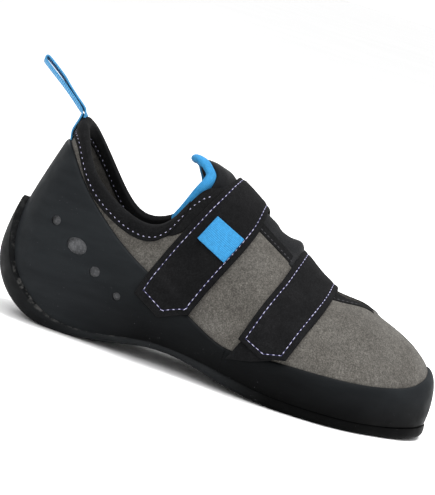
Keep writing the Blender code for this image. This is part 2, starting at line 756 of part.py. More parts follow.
TONGUE_COLUMNS = 12
TONGUE_LENGTHS = 18


def tongue_lines():
    rows = tongue_rows(np.linspace(-1, 1, TONGUE_COLUMNS + 1))
    return [open_curve(line) for line in zip(*rows)]


def make_tongue(fabric):
    lines = tongue_lines()

    def lay(column, row):
        return lines[round(column * TONGUE_COLUMNS)](row)

    sheet("tongue", TONGUE_COLUMNS, TONGUE_LENGTHS, lay, TONGUE, fabric, even=False)


def make_tongue_edge(webbing):
    """A roll round the free edge of the tongue, up one side, over the top and down the other."""
    lines = tongue_lines()
    away = TONGUE_ROLL + GAP
    middle = []
    for i, line in enumerate(lines):
        edge, within = line(1.0), line(0.97)
        ahead = (lines[min(i + 1, TONGUE_COLUMNS)](1.0) - lines[max(i - 1, 0)](1.0)).normalized()
        outward = ahead.cross(edge - within).normalized()
        way = outward.cross(ahead)
        middle.append(edge + way * away - outward * (TONGUE / 2))
    curve = bpy.data.curves.new("tongue_edge", "CURVE")
    curve.dimensions = "3D"
    spline = curve.splines.new("POLY")
    spline.points.add(len(middle) - 1)
    for i, (point, at) in enumerate(zip(spline.points, middle)):
        point.co = (*(at * MM), 1)
        point.radius = 0.5 + 0.5 * smooth_step(min(i, TONGUE_COLUMNS - i) / 3)
    curve.bevel_depth = TONGUE_ROLL * MM
    curve.bevel_resolution = 2
    curve.use_fill_caps = True
    add_object("tongue_edge", curve, webbing)


def make_pull_loop(webbing):
    sewn = [on_last(HEEL, share_back(HEEL, 1.0, below), lift) for below, lift in LOOP_OUTSIDE]
    route = open_curve([*sewn, *((x, 0.0, z) for x, z in LOOP_FREE)])

    root = (len(sewn) - 1) / (len(sewn) + len(LOOP_FREE) - 1)

    def lay(column, row):
        free = smooth_step((row - root) / 0.12) * smooth_step((1 - row) / 0.1)
        turn = math.radians(LOOP_TWIST) * free
        wide = (column - 0.5) * LOOP_WIDE
        across_way = Vector((0, math.cos(turn), 0)) - Vector(LOOP_ACROSS) * math.sin(turn)
        return route(row) + across_way * wide

    sheet("pull_loop", 1, 40, lay, WEBBING, webbing)


def centre_on_origin():
    """Moves the root so that the shoe's box stands centred on the origin."""
    bpy.context.view_layer.update()
    graph = bpy.context.evaluated_depsgraph_get()
    corners = []
    for piece in bpy.context.scene.objects:
        if piece.type in ("MESH", "CURVE") and not piece.hide_render:
            shown = piece.evaluated_get(graph)
            mesh = shown.to_mesh()
            corners += [shown.matrix_world @ vert.co for vert in mesh.vertices]
            shown.to_mesh_clear()
    low = Vector(min(point[axis] for point in corners) for axis in range(3))
    high = Vector(max(point[axis] for point in corners) for axis in range(3))
    ROOT.location = (-(low.x + high.x) / 2, -(low.y + high.y) / 2, -low.z)


for old in list(bpy.data.objects):
    bpy.data.objects.remove(old)
ROOT = bpy.data.objects.new("shoe", None)
bpy.context.scene.collection.objects.link(ROOT)

black_rubber = material("rubber", RUBBER_BLACK, 0.55)
grey_suede = material("suede", SUEDE, 0.95)
black_suede = material("black_suede", BLACK_SUEDE, 0.85)
black_fabric = material("tongue_fabric", BLACK_SUEDE, 0.9)
blue_webbing = material("blue_webbing", BLUE, 0.7)
grey_footbed = material("footbed", FOOTBED, 0.9)

make_outsole(black_rubber)
make_upper(grey_suede)
make_toe_rand(black_rubber)
make_heel_rand(black_rubber)
make_collar_binding(black_suede)
make_insole(grey_footbed)
make_tongue(black_fabric)
make_tongue_edge(blue_webbing)
make_straps(black_suede)
make_strap_pad(black_suede)
make_label(blue_webbing)
make_pull_loop(blue_webbing)
centre_on_origin()
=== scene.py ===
# %% [markdown]
# # Dressing a climbing shoe
# The imported model holds every piece of the shoe as a plain solid. This lesson lays finer pieces over the
# same last, gives each one its finish, and sets up a camera, a floor and soft light. The solids stay in
# the file for collision, and a new piece that stands for one of them hides it.

import math
from collections import namedtuple
from functools import lru_cache

import bmesh
import bpy
import numpy as np
from mathutils import Matrix, Vector


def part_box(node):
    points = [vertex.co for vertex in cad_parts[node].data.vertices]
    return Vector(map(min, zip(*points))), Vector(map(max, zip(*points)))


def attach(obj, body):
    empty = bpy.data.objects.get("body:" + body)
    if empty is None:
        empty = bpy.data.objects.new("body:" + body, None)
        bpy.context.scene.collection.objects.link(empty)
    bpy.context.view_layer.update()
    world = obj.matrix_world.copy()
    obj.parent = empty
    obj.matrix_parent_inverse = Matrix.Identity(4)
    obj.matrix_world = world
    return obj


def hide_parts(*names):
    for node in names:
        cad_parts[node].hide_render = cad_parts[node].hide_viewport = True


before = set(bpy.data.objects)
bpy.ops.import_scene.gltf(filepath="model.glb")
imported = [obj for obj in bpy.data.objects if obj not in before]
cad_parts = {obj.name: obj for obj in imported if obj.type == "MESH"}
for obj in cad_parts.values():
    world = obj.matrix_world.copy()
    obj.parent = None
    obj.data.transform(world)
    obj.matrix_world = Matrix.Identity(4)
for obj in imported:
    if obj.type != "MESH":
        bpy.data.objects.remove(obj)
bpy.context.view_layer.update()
MM = 0.001
scene = bpy.context.scene
print("nodes:", ", ".join(sorted(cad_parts)))

# %% [markdown]
# ## Camera
# The picture was taken from the outer side, a little above the floor, with the camera turned so that the
# floor falls to the right. A long lens far away keeps the shoe's proportions. The scale says how much of
# the shoe one pixel covers, and the aim says at which pixel a known point of the shoe appears.

# %% Camera
IMAGE_WIDE, IMAGE_HIGH = 435, 495
AZIMUTH, ELEVATION, ROLL = (math.radians(angle) for angle in (5.0, 7.5, 17.4))
DISTANCE = 1.2
MM_PER_PIXEL = 0.5445
AIM_POINT = Vector((0, 0, 0.05))
AIM_PIXEL = (220.4, 282.6)
SENSOR = 24.0

back = Vector((
    math.sin(AZIMUTH) * math.cos(ELEVATION),
    -math.cos(AZIMUTH) * math.cos(ELEVATION),
    math.sin(ELEVATION),
))
level = (-back).cross(Vector((0, 0, 1))).normalized()
upright = back.cross(level)
right = level * math.cos(ROLL) + upright * math.sin(ROLL)
up = upright * math.cos(ROLL) - level * math.sin(ROLL)
pixel = MM_PER_PIXEL * MM
stand = AIM_POINT + back * DISTANCE
stand -= right * (AIM_PIXEL[0] - IMAGE_WIDE / 2) * pixel
stand += up * (AIM_PIXEL[1] - IMAGE_HIGH / 2) * pixel

lens = bpy.data.cameras.new("camera")
lens.sensor_fit = "VERTICAL"
lens.sensor_height = SENSOR
lens.lens = DISTANCE * SENSOR / (IMAGE_HIGH * pixel)
camera = bpy.data.objects.new("camera", lens)
scene.collection.objects.link(camera)
camera.matrix_world = Matrix.Translation(stand) @ Matrix((right, up, back)).transposed().to_4x4()
scene.camera = camera
print(f"lens {lens.lens:.1f} mm, camera {stand.z * 1000:.0f} mm above the floor")

# %% [markdown]
# ## Floor and light
# A pale floor and a white surround give the even light of a studio. One large lamp above and in front of
# the shoe models its form softly, and a second one behind it draws the edges of the black pieces.

# %% Floor and light
scene.view_settings.view_transform = "Standard"
WORLD_LIGHT = 1.06
FLOOR_SIZE = 60.0
Lamp = namedtuple("Lamp", "name place size watts")
LAMPS = [
    Lamp("front_lamp", (-0.5, -1.3, 1.5), 1.2, 7.5),
    Lamp("top_lamp", (0.45, -0.1, 1.7), 0.9, 30),
    Lamp("back_lamp", (-0.9, 1.2, 1.1), 1.0, 8),
]

world = bpy.data.worlds.new("studio")
scene.world = world
world.use_nodes = True
world.node_tree.nodes["Background"].inputs["Color"].default_value = (1, 1, 1, 1)
world.node_tree.nodes["Background"].inputs["Strength"].default_value = WORLD_LIGHT
for lamp in LAMPS:
    light = bpy.data.lights.new(lamp.name, "AREA")
    light.shape = "DISK"
    light.size = lamp.size
    light.energy = lamp.watts
    holder = bpy.data.objects.new(lamp.name, light)
    scene.collection.objects.link(holder)
    holder.location = lamp.place
    holder.rotation_euler = (AIM_POINT - holder.location).to_track_quat("-Z", "Y").to_euler()

ground = bmesh.new()
bmesh.ops.create_grid(ground, x_segments=1, y_segments=1, size=FLOOR_SIZE / 2)
floor_mesh = bpy.data.meshes.new("floor")
ground.to_mesh(floor_mesh)
ground.free()
floor = bpy.data.objects.new("floor", floor_mesh)
scene.collection.objects.link(floor)
print("lamps:", len(LAMPS))

# %% [markdown]
# ## The last
# A shoe is built on a last, the form of the foot inside it. Here the last is a ring of upright sections
# that fan round the heel, cross the foot and fan round the toe. The tables give each section from the
# heel back to the toe tip, in millimetres. They are the ones that the solids were made from, so whatever
# is laid on them fits those solids.

# %% Tables of the last
Plan = namedtuple("Plan", "x y turn lat_feather med_feather lat_belly med_belly lat_edge med_edge")
PLAN = [
    Plan(40, 0.0, 180, 7.0, 7.0, 35.8, 35.8, 17.0, 17.0),  # heel back
    Plan(40, 0.0, 150, 11.0, 11.0, 33.8, 33.8, 18.4, 18.4),  # heel quarter
    Plan(40, 0.0, 122, 16.0, 16.0, 30.8, 30.8, 21.0, 21.0),  # heel corner
    Plan(44, 0.0, 98, 20.0, 20.0, 29.5, 29.5, 24.0, 24.0),  # heel side
    Plan(60, 0.0, 90, 22.5, 22.0, 30.0, 29.2, 25.5, 25.0),  # below the ankle
    Plan(76, 0.4, 90, 25.0, 22.0, 31.6, 29.0, 26.3, 25.5),  # collar low point
    Plan(88, 0.9, 90, 27.0, 21.5, 33.4, 28.8, 24.5, 24.0),  # collar front
    Plan(99, 1.3, 90, 29.0, 21.5, 35.6, 28.8, 18.5, 18.5),  # throat top
    Plan(116, 2.2, 90, 33.0, 23.0, 39.0, 30.0, 14.0, 14.5),  # instep
    Plan(136, 3.2, 90, 38.0, 27.0, 43.5, 33.5, 13.0, 13.5),  # waist front
    Plan(156, 4.6, 90, 42.0, 31.0, 47.2, 36.4, 12.0, 12.5),  # behind the ball
    Plan(176, 6.5, 88, 44.5, 33.0, 49.3, 37.6, 9.0, 9.5),  # ball
    Plan(195, 8.5, 79, 42.5, 32.0, 47.0, 36.5, 3.0, 3.0),  # throat end
    Plan(205, 9.6, 60, 34.5, 32.0, 38.8, 36.2, -3.0, -3.0),  # toe side
    Plan(208, 10.0, 37, 32.8, 35.8, 35.6, 38.6, -4.0, -4.0),  # toe corner
    Plan(209, 10.0, 17, 34.0, 36.6, 36.2, 38.8, -4.0, -4.0),  # toe quarter
    Plan(209, 10.0, 0, 36.0, 36.0, 37.6, 37.6, -4.0, -4.0),  # toe tip
]
Height = namedtuple("Height", "sole feather belly lat_edge med_edge lean full")
HEIGHTS = [
    Height(-0.4, 5.5, 35.0, 112.5, 112.5, 15, 0.27),
    Height(-0.4, 5.5, 34.0, 110.5, 111.0, 14, 0.27),
    Height(-0.4, 5.5, 32.0, 105.0, 106.0, 12, 0.27),
    Height(-0.4, 5.6, 30.0, 87.3, 92.0, 8, 0.30),
    Height(1.2, 6.1, 29.5, 74.2, 72.0, 6, 0.30),
    Height(4.4, 9.0, 29.5, 70.3, 70.3, 8, 0.30),
    Height(7.0, 11.4, 29.5, 78.3, 81.0, 14, 0.32),
    Height(8.4, 12.7, 29.0, 97.5, 98.5, 30, 0.33),
    Height(7.8, 12.2, 27.5, 98.0, 98.5, 44, 0.34),
    Height(4.0, 8.8, 24.5, 87.4, 87.8, 52, 0.35),
    Height(1.1, 6.4, 21.5, 75.4, 76.0, 55, 0.36),
    Height(-0.3, 5.6, 19.5, 64.2, 64.2, 66, 0.38),
    Height(-0.4, 5.5, 18.5, 62.2, 62.2, 84, 0.39),
    Height(-0.2, 5.5, 17.4, 59.0, 59.0, 79, 0.40),
    Height(0.3, 6.0, 17.0, 57.7, 57.7, 73, 0.43),
    Height(1.1, 6.8, 17.0, 57.3, 57.3, 69.5, 0.45),
    Height(1.5, 7.2, 17.0, 57.2, 57.2, 68.5, 0.45),
]
Rubber = namedtuple("Rubber", "sole_edge side square lat_top med_top")
RUBBER = [
    Rubber(62.0, 6.0, 0.0, 99.5, 99.5),
    Rubber(36.0, 5.2, 0.0, 98.5, 98.5),
    Rubber(17.0, 4.0, 0.0, 92.6, 92.6),
    Rubber(8.4, 3.2, 0.0, 78.0, 78.0),
    Rubber(7.4, 3.0, 0.0, 61.5, 61.5),
    Rubber(10.2, 2.9, 0.0, 51.5, 51.5),
    Rubber(12.5, 2.9, 0.0, 45.5, 45.5),
    Rubber(13.8, 2.9, 0.0, 39.5, 39.5),
    Rubber(13.4, 2.8, 0.1, 31.0, 31.0),
    Rubber(11.0, 2.6, 0.45, 23.5, 24.0),
    Rubber(8.4, 2.6, 0.9, 24.5, 25.5),
    Rubber(7.2, 2.8, 1.0, 25.6, 27.0),
    Rubber(7.0, 3.0, 1.0, 26.2, 29.0),
    Rubber(7.2, 3.2, 1.0, 27.4, 33.0),
    Rubber(7.8, 3.4, 1.0, 29.6, 36.0),
    Rubber(8.6, 3.6, 1.0, 33.6, 37.8),
    Rubber(9.0, 3.6, 1.0, 36.6, 36.6),
]
HEEL = len(PLAN) - 1
RING = 2 * HEEL
print("sections:", len(PLAN))

# %% [markdown]
# A smooth curve through each column of the tables turns the separate sections into one form. The ring
# counts from the toe tip along the outer side to the heel, and back along the inner side.

# %% Curves through the tables


def closed_curve(values):
    """A smooth closed curve through evenly spaced values, as a function of the place along them."""
    values = np.asarray(values, float)
    count = len(values)
    eye = np.eye(count)
    ties = 4 * eye + np.roll(eye, 1, axis=0) + np.roll(eye, -1, axis=0)
    bend = np.linalg.solve(ties, 6 * (np.roll(values, -1) - 2 * values + np.roll(values, 1)))

    def at(place):
        start = math.floor(place)
        after = place - start
        before = 1 - after
        i, j = start % count, (start + 1) % count
        curved = (before**3 - before) * bend[i] + (after**3 - after) * bend[j]
        return before * values[i] + after * values[j] + curved / 6

    return at


def open_curve(points):
    """A smooth curve through a few points, as a function that runs from 0 to 1 along them."""
    points = [Vector(point) for point in points]

    def at(share):
        place = min(max(share, 0.0), 1.0) * (len(points) - 1)
        i = min(int(place), len(points) - 2)
        t = place - i
        p1, p2 = points[i], points[i + 1]
        p0 = points[i - 1] if i else p1 * 2 - p2
        p3 = points[i + 2] if i + 2 < len(points) else p2 * 2 - p1
        bend = (p0 * 2 - p1 * 5 + p2 * 4 - p3) * t**2
        twist = (p1 * 3 - p0 - p2 * 3 + p3) * t**3
        return (p1 * 2 + (p2 - p0) * t + bend + twist) / 2

    return at


print(f"a closed curve through 1, 2 and 3 is {closed_curve([1, 2, 3])(0.5):.2f} halfway to the second")

# %% [markdown]
# A column of a table is read along the outer side and back along the inner side, which makes it a ring. A
# section's direction grows by a whole turn round the ring, so that even turn is taken off first and only
# the rest is curved.

# %% Rings


def ring_of(table, lateral, medial=None):
    """One column of a table as a closed curve, along the lateral side and back along the medial side."""
    lat = [getattr(row, lateral) for row in table]
    med = [getattr(row, medial or lateral) for row in table]
    return closed_curve(lat[::-1] + med[1:-1])


def heading_of_ring():
    """Each section's direction, without the even turn that the ring makes."""
    lat = [-row.turn for row in PLAN][::-1]
    med = [row.turn - 360 for row in PLAN][1:-1]
    even = 360 / RING
    return closed_curve([turn + even * place for place, turn in enumerate(lat + med)])


SPINE_X = ring_of(PLAN, "x")
SPINE_Y = ring_of(PLAN, "y")
HEADING = heading_of_ring()
FEATHER = ring_of(PLAN, "lat_feather", "med_feather")
BELLY = ring_of(PLAN, "lat_belly", "med_belly")
EDGE = ring_of(PLAN, "lat_edge", "med_edge")
SOLE_Z = ring_of(HEIGHTS, "sole")
FEATHER_Z = ring_of(HEIGHTS, "feather")
BELLY_Z = ring_of(HEIGHTS, "belly")
EDGE_Z = ring_of(HEIGHTS, "lat_edge", "med_edge")
LEAN = ring_of(HEIGHTS, "lean")
FULL = ring_of(HEIGHTS, "full")
SOLE_EDGE = ring_of(RUBBER, "sole_edge")
SOLE_SIDE = ring_of(RUBBER, "side")
SQUARE = ring_of(RUBBER, "square")
RUBBER_TOP = ring_of(RUBBER, "lat_top", "med_top")
print(f"the heel's belly stands {BELLY(HEEL):.1f} mm behind its spine")

# %% [markdown]
# One section is a round from the sole's edge to the widest point, then a curve up to the collar or throat.
# Everything on the shoe is placed by a section, a share of its length and a lift off the last.

# %% Points on the last


def smooth_step(share):
    share = min(max(share, 0.0), 1.0)
    return share * share * (3 - 2 * share)


def place(w, reach, height):
    """A point of section w, at this distance from its spine."""
    turn = math.radians(HEADING(w) - 360 / RING * w)
    return Vector((SPINE_X(w) + reach * math.cos(turn), SPINE_Y(w) + reach * math.sin(turn), height))


@lru_cache(maxsize=None)
def rib(w):
    """Section w of the last from feather to edge: reach, height, length so far and the way out."""
    feather, belly, edge = FEATHER(w), BELLY(w), max(0.0, EDGE(w))
    low, mid, high = FEATHER_Z(w), BELLY_Z(w), EDGE_Z(w)
    quarter = np.linspace(0, math.pi / 2, 25)
    lean = math.radians(LEAN(w))
    hold = FULL(w) * math.hypot(belly - edge, high - mid)
    t = np.linspace(0, 1, 33)[1:]
    share = [(1 - t) ** 3, 3 * t * (1 - t) ** 2, 3 * t**2 * (1 - t), t**3]
    reaches = (belly, belly, edge + hold * math.sin(lean), edge)
    heights = (mid, mid + hold, high - hold * math.cos(lean), high)
    reach = np.append(
        feather + (belly - feather) * np.sin(quarter), sum(a * b for a, b in zip(share, reaches))
    )
    height = np.append(mid - (mid - low) * np.cos(quarter), sum(a * b for a, b in zip(share, heights)))
    run = np.append(0, np.cumsum(np.hypot(np.diff(reach), np.diff(height))))
    out_r, out_z = np.gradient(height, run), -np.gradient(reach, run)
    if edge == 0:
        out_r = out_r * np.clip(reach / 6, 0, 1)
    size = np.hypot(out_r, out_z)
    return reach, height, run, out_r / size, out_z / size


def on_rib(w, share, lift=0.0, past=0.0):
    """Reach and height at this share of section w, lifted off the last, and carried past its edge."""
    reach, height, run, out_r, out_z = rib(w)
    length = share * run[-1]
    r, z, n_r, n_z = (np.interp(length, run, column) for column in (reach, height, out_r, out_z))
    return float(r + lift * n_r - past * n_z), float(z + lift * n_z + past * n_r)


def on_last(w, share, lift=0.0, past=0.0):
    return place(w, *on_rib(w, share, lift, past))


def share_at(w, height):
    """The share of section w at which it reaches this height."""
    _, heights, run, _, _ = rib(w)
    return float(np.interp(height, np.maximum.accumulate(heights), run) / run[-1])


def rib_length(w):
    return float(rib(w)[2][-1])


def share_back(w, share, distance):
    """The share of section w that lies this distance below another."""
    return share - distance / rib_length(w)


print(f"the heel's section is {rib_length(HEEL):.1f} mm long")

# %% [markdown]
# The frame keeps the shoe centred on its box, so the last needs one shift to lie where the solids do. The
# sole's back point and the pull loop's middle are the same points in both, and their difference is the
# shift.

# %% Shift from the last to the frame
SOLE_STEP = 0.9  # air between the lasted upper and the sole
SOLE_SIDE_ROWS = 8  # rows of the solid's side
SQUARE_CORNER = 3.6  # how crisp a square lower corner is


def sole_edge_share(w):
    """The share of section w that the sole's side covers."""
    return share_at(w, max(SOLE_EDGE(w), FEATHER_Z(w) + 1.0))


def sole_side(w, share, pull=0.0):
    """The sole's outer face in section w, from the feather's foot at 0 to its upper edge at 1."""
    floor_z = max(0.0, SOLE_Z(w))
    thick = FEATHER_Z(w) - floor_z
    lift = thick + (SOLE_SIDE(w) - thick) * smooth_step(share) - pull
    round_r, round_z = on_rib(w, share * sole_edge_share(w), lift)
    edge_r, edge_z = on_rib(w, sole_edge_share(w), SOLE_SIDE(w) - pull)
    turn = share * math.pi / 2
    power = 2 / SQUARE_CORNER
    square_r = FEATHER(w) + (edge_r - FEATHER(w)) * math.sin(turn) ** power
    square_z = edge_z - (edge_z - floor_z) * max(math.cos(turn), 0.0) ** power
    square = min(max(SQUARE(w), 0.0), 1.0)
    return round_r + square * (square_r - round_r), max(0.0, round_z + square * (square_z - round_z))


heel_back = min(place(HEEL, *sole_side(HEEL, k / SOLE_SIDE_ROWS)).x for k in range(SOLE_SIDE_ROWS + 1))
loop_low, loop_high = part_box("pull_loop")
SHIFT = Vector((
    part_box("outsole")[0].x / MM - heel_back,
    (loop_low.y + loop_high.y) / 2 / MM,
    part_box("outsole")[0].z / MM,
))


def to_frame(point):
    return (point + SHIFT) * MM


print("shift in mm:", [round(value, 2) for value in SHIFT])

# %% [markdown]
# ## Finishes
# Each finish is a small tree of nodes on Object coordinates, so its grain has a real size in metres and
# stays put on the surface. A few helpers keep the trees short: they add a node with its inputs, spread
# colours over a ramp, mix two colours, map one range to another, and raise a bump.

# %% Helpers for finishes


def add_node(tree, kind, inputs=None, **settings):
    """Adds a node, sets its properties, and links or sets its inputs."""
    made = tree.nodes.new(kind)
    for key, value in settings.items():
        setattr(made, key, value)
    for key, value in (inputs or {}).items():
        if isinstance(value, bpy.types.NodeSocket):
            tree.links.new(value, made.inputs[key])
        else:
            made.inputs[key].default_value = value
    return made


def ramp(tree, factor, *stops):
    """Spreads grey values or colours over a factor, each stop a position and a colour."""
    made = add_node(tree, "ShaderNodeValToRGB", {"Fac": factor})
    points = made.color_ramp.elements
    for number, (position, colour) in enumerate(stops):
        point = points[number] if number < 2 else points.new(position)
        point.position = position
        point.color = (*colour, 1) if isinstance(colour, tuple) else (colour, colour, colour, 1)
    return made.outputs["Color"]


def mixed(tree, kind, factor, first, second):
    """Mixes two colours, each a socket or a colour."""
    made = add_node(tree, "ShaderNodeMix", data_type="RGBA", blend_type=kind)
    for slot, value in ((0, factor), (6, first), (7, second)):
        if isinstance(value, bpy.types.NodeSocket):
            tree.links.new(value, made.inputs[slot])
        else:
            made.inputs[slot].default_value = (*value, 1) if isinstance(value, tuple) else value
    return made.outputs[2]


def noise(tree, where, scale, detail=3.0, rough=0.55):
    inputs = {"Vector": where, "Scale": scale, "Detail": detail, "Roughness": rough}
    return add_node(tree, "ShaderNodeTexNoise", inputs).outputs["Fac"]


def spread(tree, value, given, made):
    """Maps a range of a value to another range, whose ends are numbers or sockets."""
    inputs = {"Value": value}
    inputs.update({"From Min": given[0], "From Max": given[1]})
    inputs.update({"To Min": made[0], "To Max": made[1]})
    return add_node(tree, "ShaderNodeMapRange", inputs).outputs["Result"]


def bump(tree, height, strength, distance, under=None):
    inputs = {"Height": height, "Strength": strength, "Distance": distance}
    if under is not None:
        inputs["Normal"] = under
    return add_node(tree, "ShaderNodeBump", inputs).outputs["Normal"]


def start_finish(name, roughness, specular):
    """A material with its tree, its shader and the Object coordinates."""
    made = bpy.data.materials.new(name)
    made.use_nodes = True
    tree = made.node_tree
    shader = tree.nodes["Principled BSDF"]
    shader.inputs["Roughness"].default_value = roughness
    shader.inputs["Specular IOR Level"].default_value = specular
    where = add_node(tree, "ShaderNodeTexCoord").outputs["Object"]
    return made, tree, shader, where


print("helpers ready")

# %% [markdown]
# Suede is the rough side of leather: a short nap that scatters light, brighter or darker where fingers
# brushed it. Wide soft patches, pale and dark specks about a millimetre across, and fine fibres each have
# their own noise, and specks and fibres also raise the surface. The black pieces are the same leather,
# dyed, with less contrast.

# %% Suede


def make_suede(name, dark, mid, pale, speck, fuzz):
    made, tree, shader, where = start_finish(name, 0.95, 0.06)
    patches = ramp(tree, noise(tree, where, 48, 3), (0.32, dark), (0.5, mid), (0.7, pale))
    brushed = ramp(tree, noise(tree, where, 17, 2), (0.36, 0.88), (0.64, 1.1))
    patches = mixed(tree, "MULTIPLY", 1.0, patches, brushed)
    specks = noise(tree, where, 1150, 3, 0.75)
    mottle = ramp(tree, specks, (0.32, 1 - speck), (0.5, 1.0), (0.68, 1 + 1.6 * speck))
    fibres = noise(tree, where, 2600, 3, 0.7)
    grain = ramp(tree, fibres, (0.3, 1 - 0.8 * speck), (0.7, 1 + 0.8 * speck))
    clouds = ramp(tree, noise(tree, where, 330, 3), (0.34, 0.86), (0.66, 1.14))
    colour = mixed(tree, "MULTIPLY", 1.0, mixed(tree, "MULTIPLY", 1.0, patches, clouds), mottle)
    colour = mixed(tree, "MULTIPLY", 1.0, colour, grain)
    tree.links.new(colour, shader.inputs["Base Color"])
    soft = bump(tree, specks, 0.35, 0.0004)
    tree.links.new(bump(tree, fibres, 0.5, 0.0002, soft), shader.inputs["Normal"])
    shader.inputs["Sheen Weight"].default_value = fuzz
    shader.inputs["Sheen Roughness"].default_value = 0.6
    return made


grey_suede = make_suede(
    "grey_suede", (0.064, 0.0595, 0.053), (0.076, 0.0713, 0.0638), (0.086, 0.0812, 0.0736), 0.42, 0.05
)
black_suede = make_suede(
    "black_suede", (0.0042, 0.0043, 0.0047), (0.0055, 0.0056, 0.006), (0.0075, 0.0075, 0.008), 0.35, 0.012
)
print("finishes:", grey_suede.name, black_suede.name)

# %% [markdown]
# The sole's upper edge is ground by hand and rubs on rock, so it is pale in broken patches, most of all
# beside the heel; the same pale line also stands for a painted highlight along the edge. The sole's rows
# are counted in its UV map, so the last rows can be told apart, and a noise breaks the patches up. The
# sole is also painted darker at the heel, and paler under the arch as painted light where its edge faces
# up.

# %% Worn and highlit edge of the sole
# pale colour of the worn edge and of its painted highlight
RUB_AND_HIGHLIGHT_COLOUR = (0.075, 0.074, 0.072)


def rub_and_highlight_edge(tree, where, along, colour):
    """Paints the sole's upper edge pale in broken patches, most beside the heel: wear and a painted
    highlight.
    """
    rows = add_node(tree, "ShaderNodeUVMap", uv_map="cloth").outputs["UV"]
    row = add_node(tree, "ShaderNodeSeparateXYZ", {"Vector": rows}).outputs["Y"]
    # darker at the heel, and paler under the arch as painted light where the edge faces up
    colour = mixed(tree, "MULTIPLY", 1.0, colour, spread(tree, along, (-0.1, -0.06), (0.6, 1.7)))
    start = spread(tree, along, (-0.108, -0.095), (0.955, 0.8))
    rim = spread(tree, row, (start, 0.97), (0.0, 1.0))
    broken = ramp(tree, noise(tree, where, 240, 4, 0.7), (0.47, 0.0), (0.62, 0.9))
    rear = spread(tree, along, (-0.05, -0.02), (1.0, 0.0))
    # worn is the pale rim: wear and a painted highlight along the edge
    worn = mixed(tree, "MULTIPLY", 1.0, mixed(tree, "MULTIPLY", 1.0, rim, broken), rear)
    worn = mixed(tree, "MULTIPLY", 1.0, worn, spread(tree, along, (-0.116, -0.098), (0.16, 1.0)))
    return mixed(tree, "MIX", worn, colour, RUB_AND_HIGHLIGHT_COLOUR)


print("the edge is rubbed to", RUB_AND_HIGHLIGHT_COLOUR)

# %% [markdown]
# Climbing rubber is dense and matt, nearly black with a cool cast. Moulding leaves it slightly uneven, and
# use leaves pale dust and short scuffs. The dust is a thresholded noise, the scuffs a noise stretched along
# the shoe. Painted shade darkens it towards the floor, and painted light makes it paler towards the toe.

# %% Rubber
PAINTED_SHADE_HEIGHTS = (0.008, 0.055)  # metres above the floor, from darkest painted shade to none
TOE_PAINTED_LIGHT = (0.05, 0.11)  # metres along the shoe, from black to paler, as painted light
DUST_COLOUR = (0.05, 0.05, 0.052)
SCUFF_COLOUR = (0.032, 0.033, 0.035)


def make_rubber(name, dark, pale, painted_shade_from, rubbed_and_highlit):
    made, tree, shader, where = start_finish(name, 0.5, 0.04)
    drawn = add_node(tree, "ShaderNodeMapping", {"Vector": where, "Scale": (0.2, 0.6, 1.0)})
    base = ramp(tree, noise(tree, drawn.outputs["Vector"], 150, 3), (0.35, dark), (0.65, pale))
    parts = add_node(tree, "ShaderNodeSeparateXYZ", {"Vector": where}).outputs
    # painted shade: darker towards the floor, most of all towards the front
    low = spread(tree, parts["X"], painted_shade_from, (0.9, 0.03))
    base = mixed(tree, "MULTIPLY", 1.0, base, spread(tree, parts["Z"], PAINTED_SHADE_HEIGHTS, (low, 1.0)))
    # painted light: paler towards the toe
    base = mixed(tree, "MULTIPLY", 1.0, base, spread(tree, parts["X"], TOE_PAINTED_LIGHT, (1.0, 2.1)))
    dust = ramp(tree, noise(tree, where, 950, 2), (0.69, 0.0), (0.76, 1.0))
    patch = ramp(tree, noise(tree, where, 60, 3), (0.48, 0.0), (0.66, 1.0))
    specks = mixed(tree, "MULTIPLY", 1.0, dust, patch)
    long_way = add_node(tree, "ShaderNodeMapping", {"Vector": where, "Scale": (0.25, 1.0, 1.6)})
    scuffs = ramp(tree, noise(tree, long_way.outputs["Vector"], 420, 5, 0.7), (0.66, 0.0), (0.74, 0.55))
    scuffs = mixed(tree, "MULTIPLY", 1.0, scuffs, patch)
    colour = mixed(tree, "MIX", specks, base, DUST_COLOUR)
    colour = mixed(tree, "MIX", scuffs, colour, SCUFF_COLOUR)
    # the sole's edge gets its wear and painted highlight, and its painted light under the arch
    if rubbed_and_highlit:
        colour = rub_and_highlight_edge(tree, where, parts["X"], colour)
    tree.links.new(colour, shader.inputs["Base Color"])
    gloss = ramp(tree, noise(tree, where, 130, 4), (0.3, 0.42), (0.7, 0.62))
    tree.links.new(gloss, shader.inputs["Roughness"])
    fine = bump(tree, noise(tree, where, 1800, 3), 0.12, 0.0002)
    tree.links.new(bump(tree, noise(tree, where, 90, 2), 0.1, 0.001, fine), shader.inputs["Normal"])
    return made


# the third value says where along the shoe the painted shade near the floor sets in
black_rubber = make_rubber(
    "black_rubber", (0.0104, 0.0118, 0.0132), (0.0138, 0.0156, 0.0172), (-0.075, -0.03), rubbed_and_highlit=False
)
sole_rubber = make_rubber(
    "sole_rubber", (0.0066, 0.0072, 0.0078), (0.0112, 0.0121, 0.0129), (0.0, 0.045), rubbed_and_highlit=True
)
print("finishes:", black_rubber.name, sole_rubber.name)

# %% [markdown]
# Woven pieces carry a UV map in millimetres, so a weave follows them round their bends. Two waves across
# each other, one along the threads and one across, raise the ribs. The lining and the tongue's cover are
# knitted more finely, so a cell pattern on Object coordinates is enough.

# %% Woven finishes


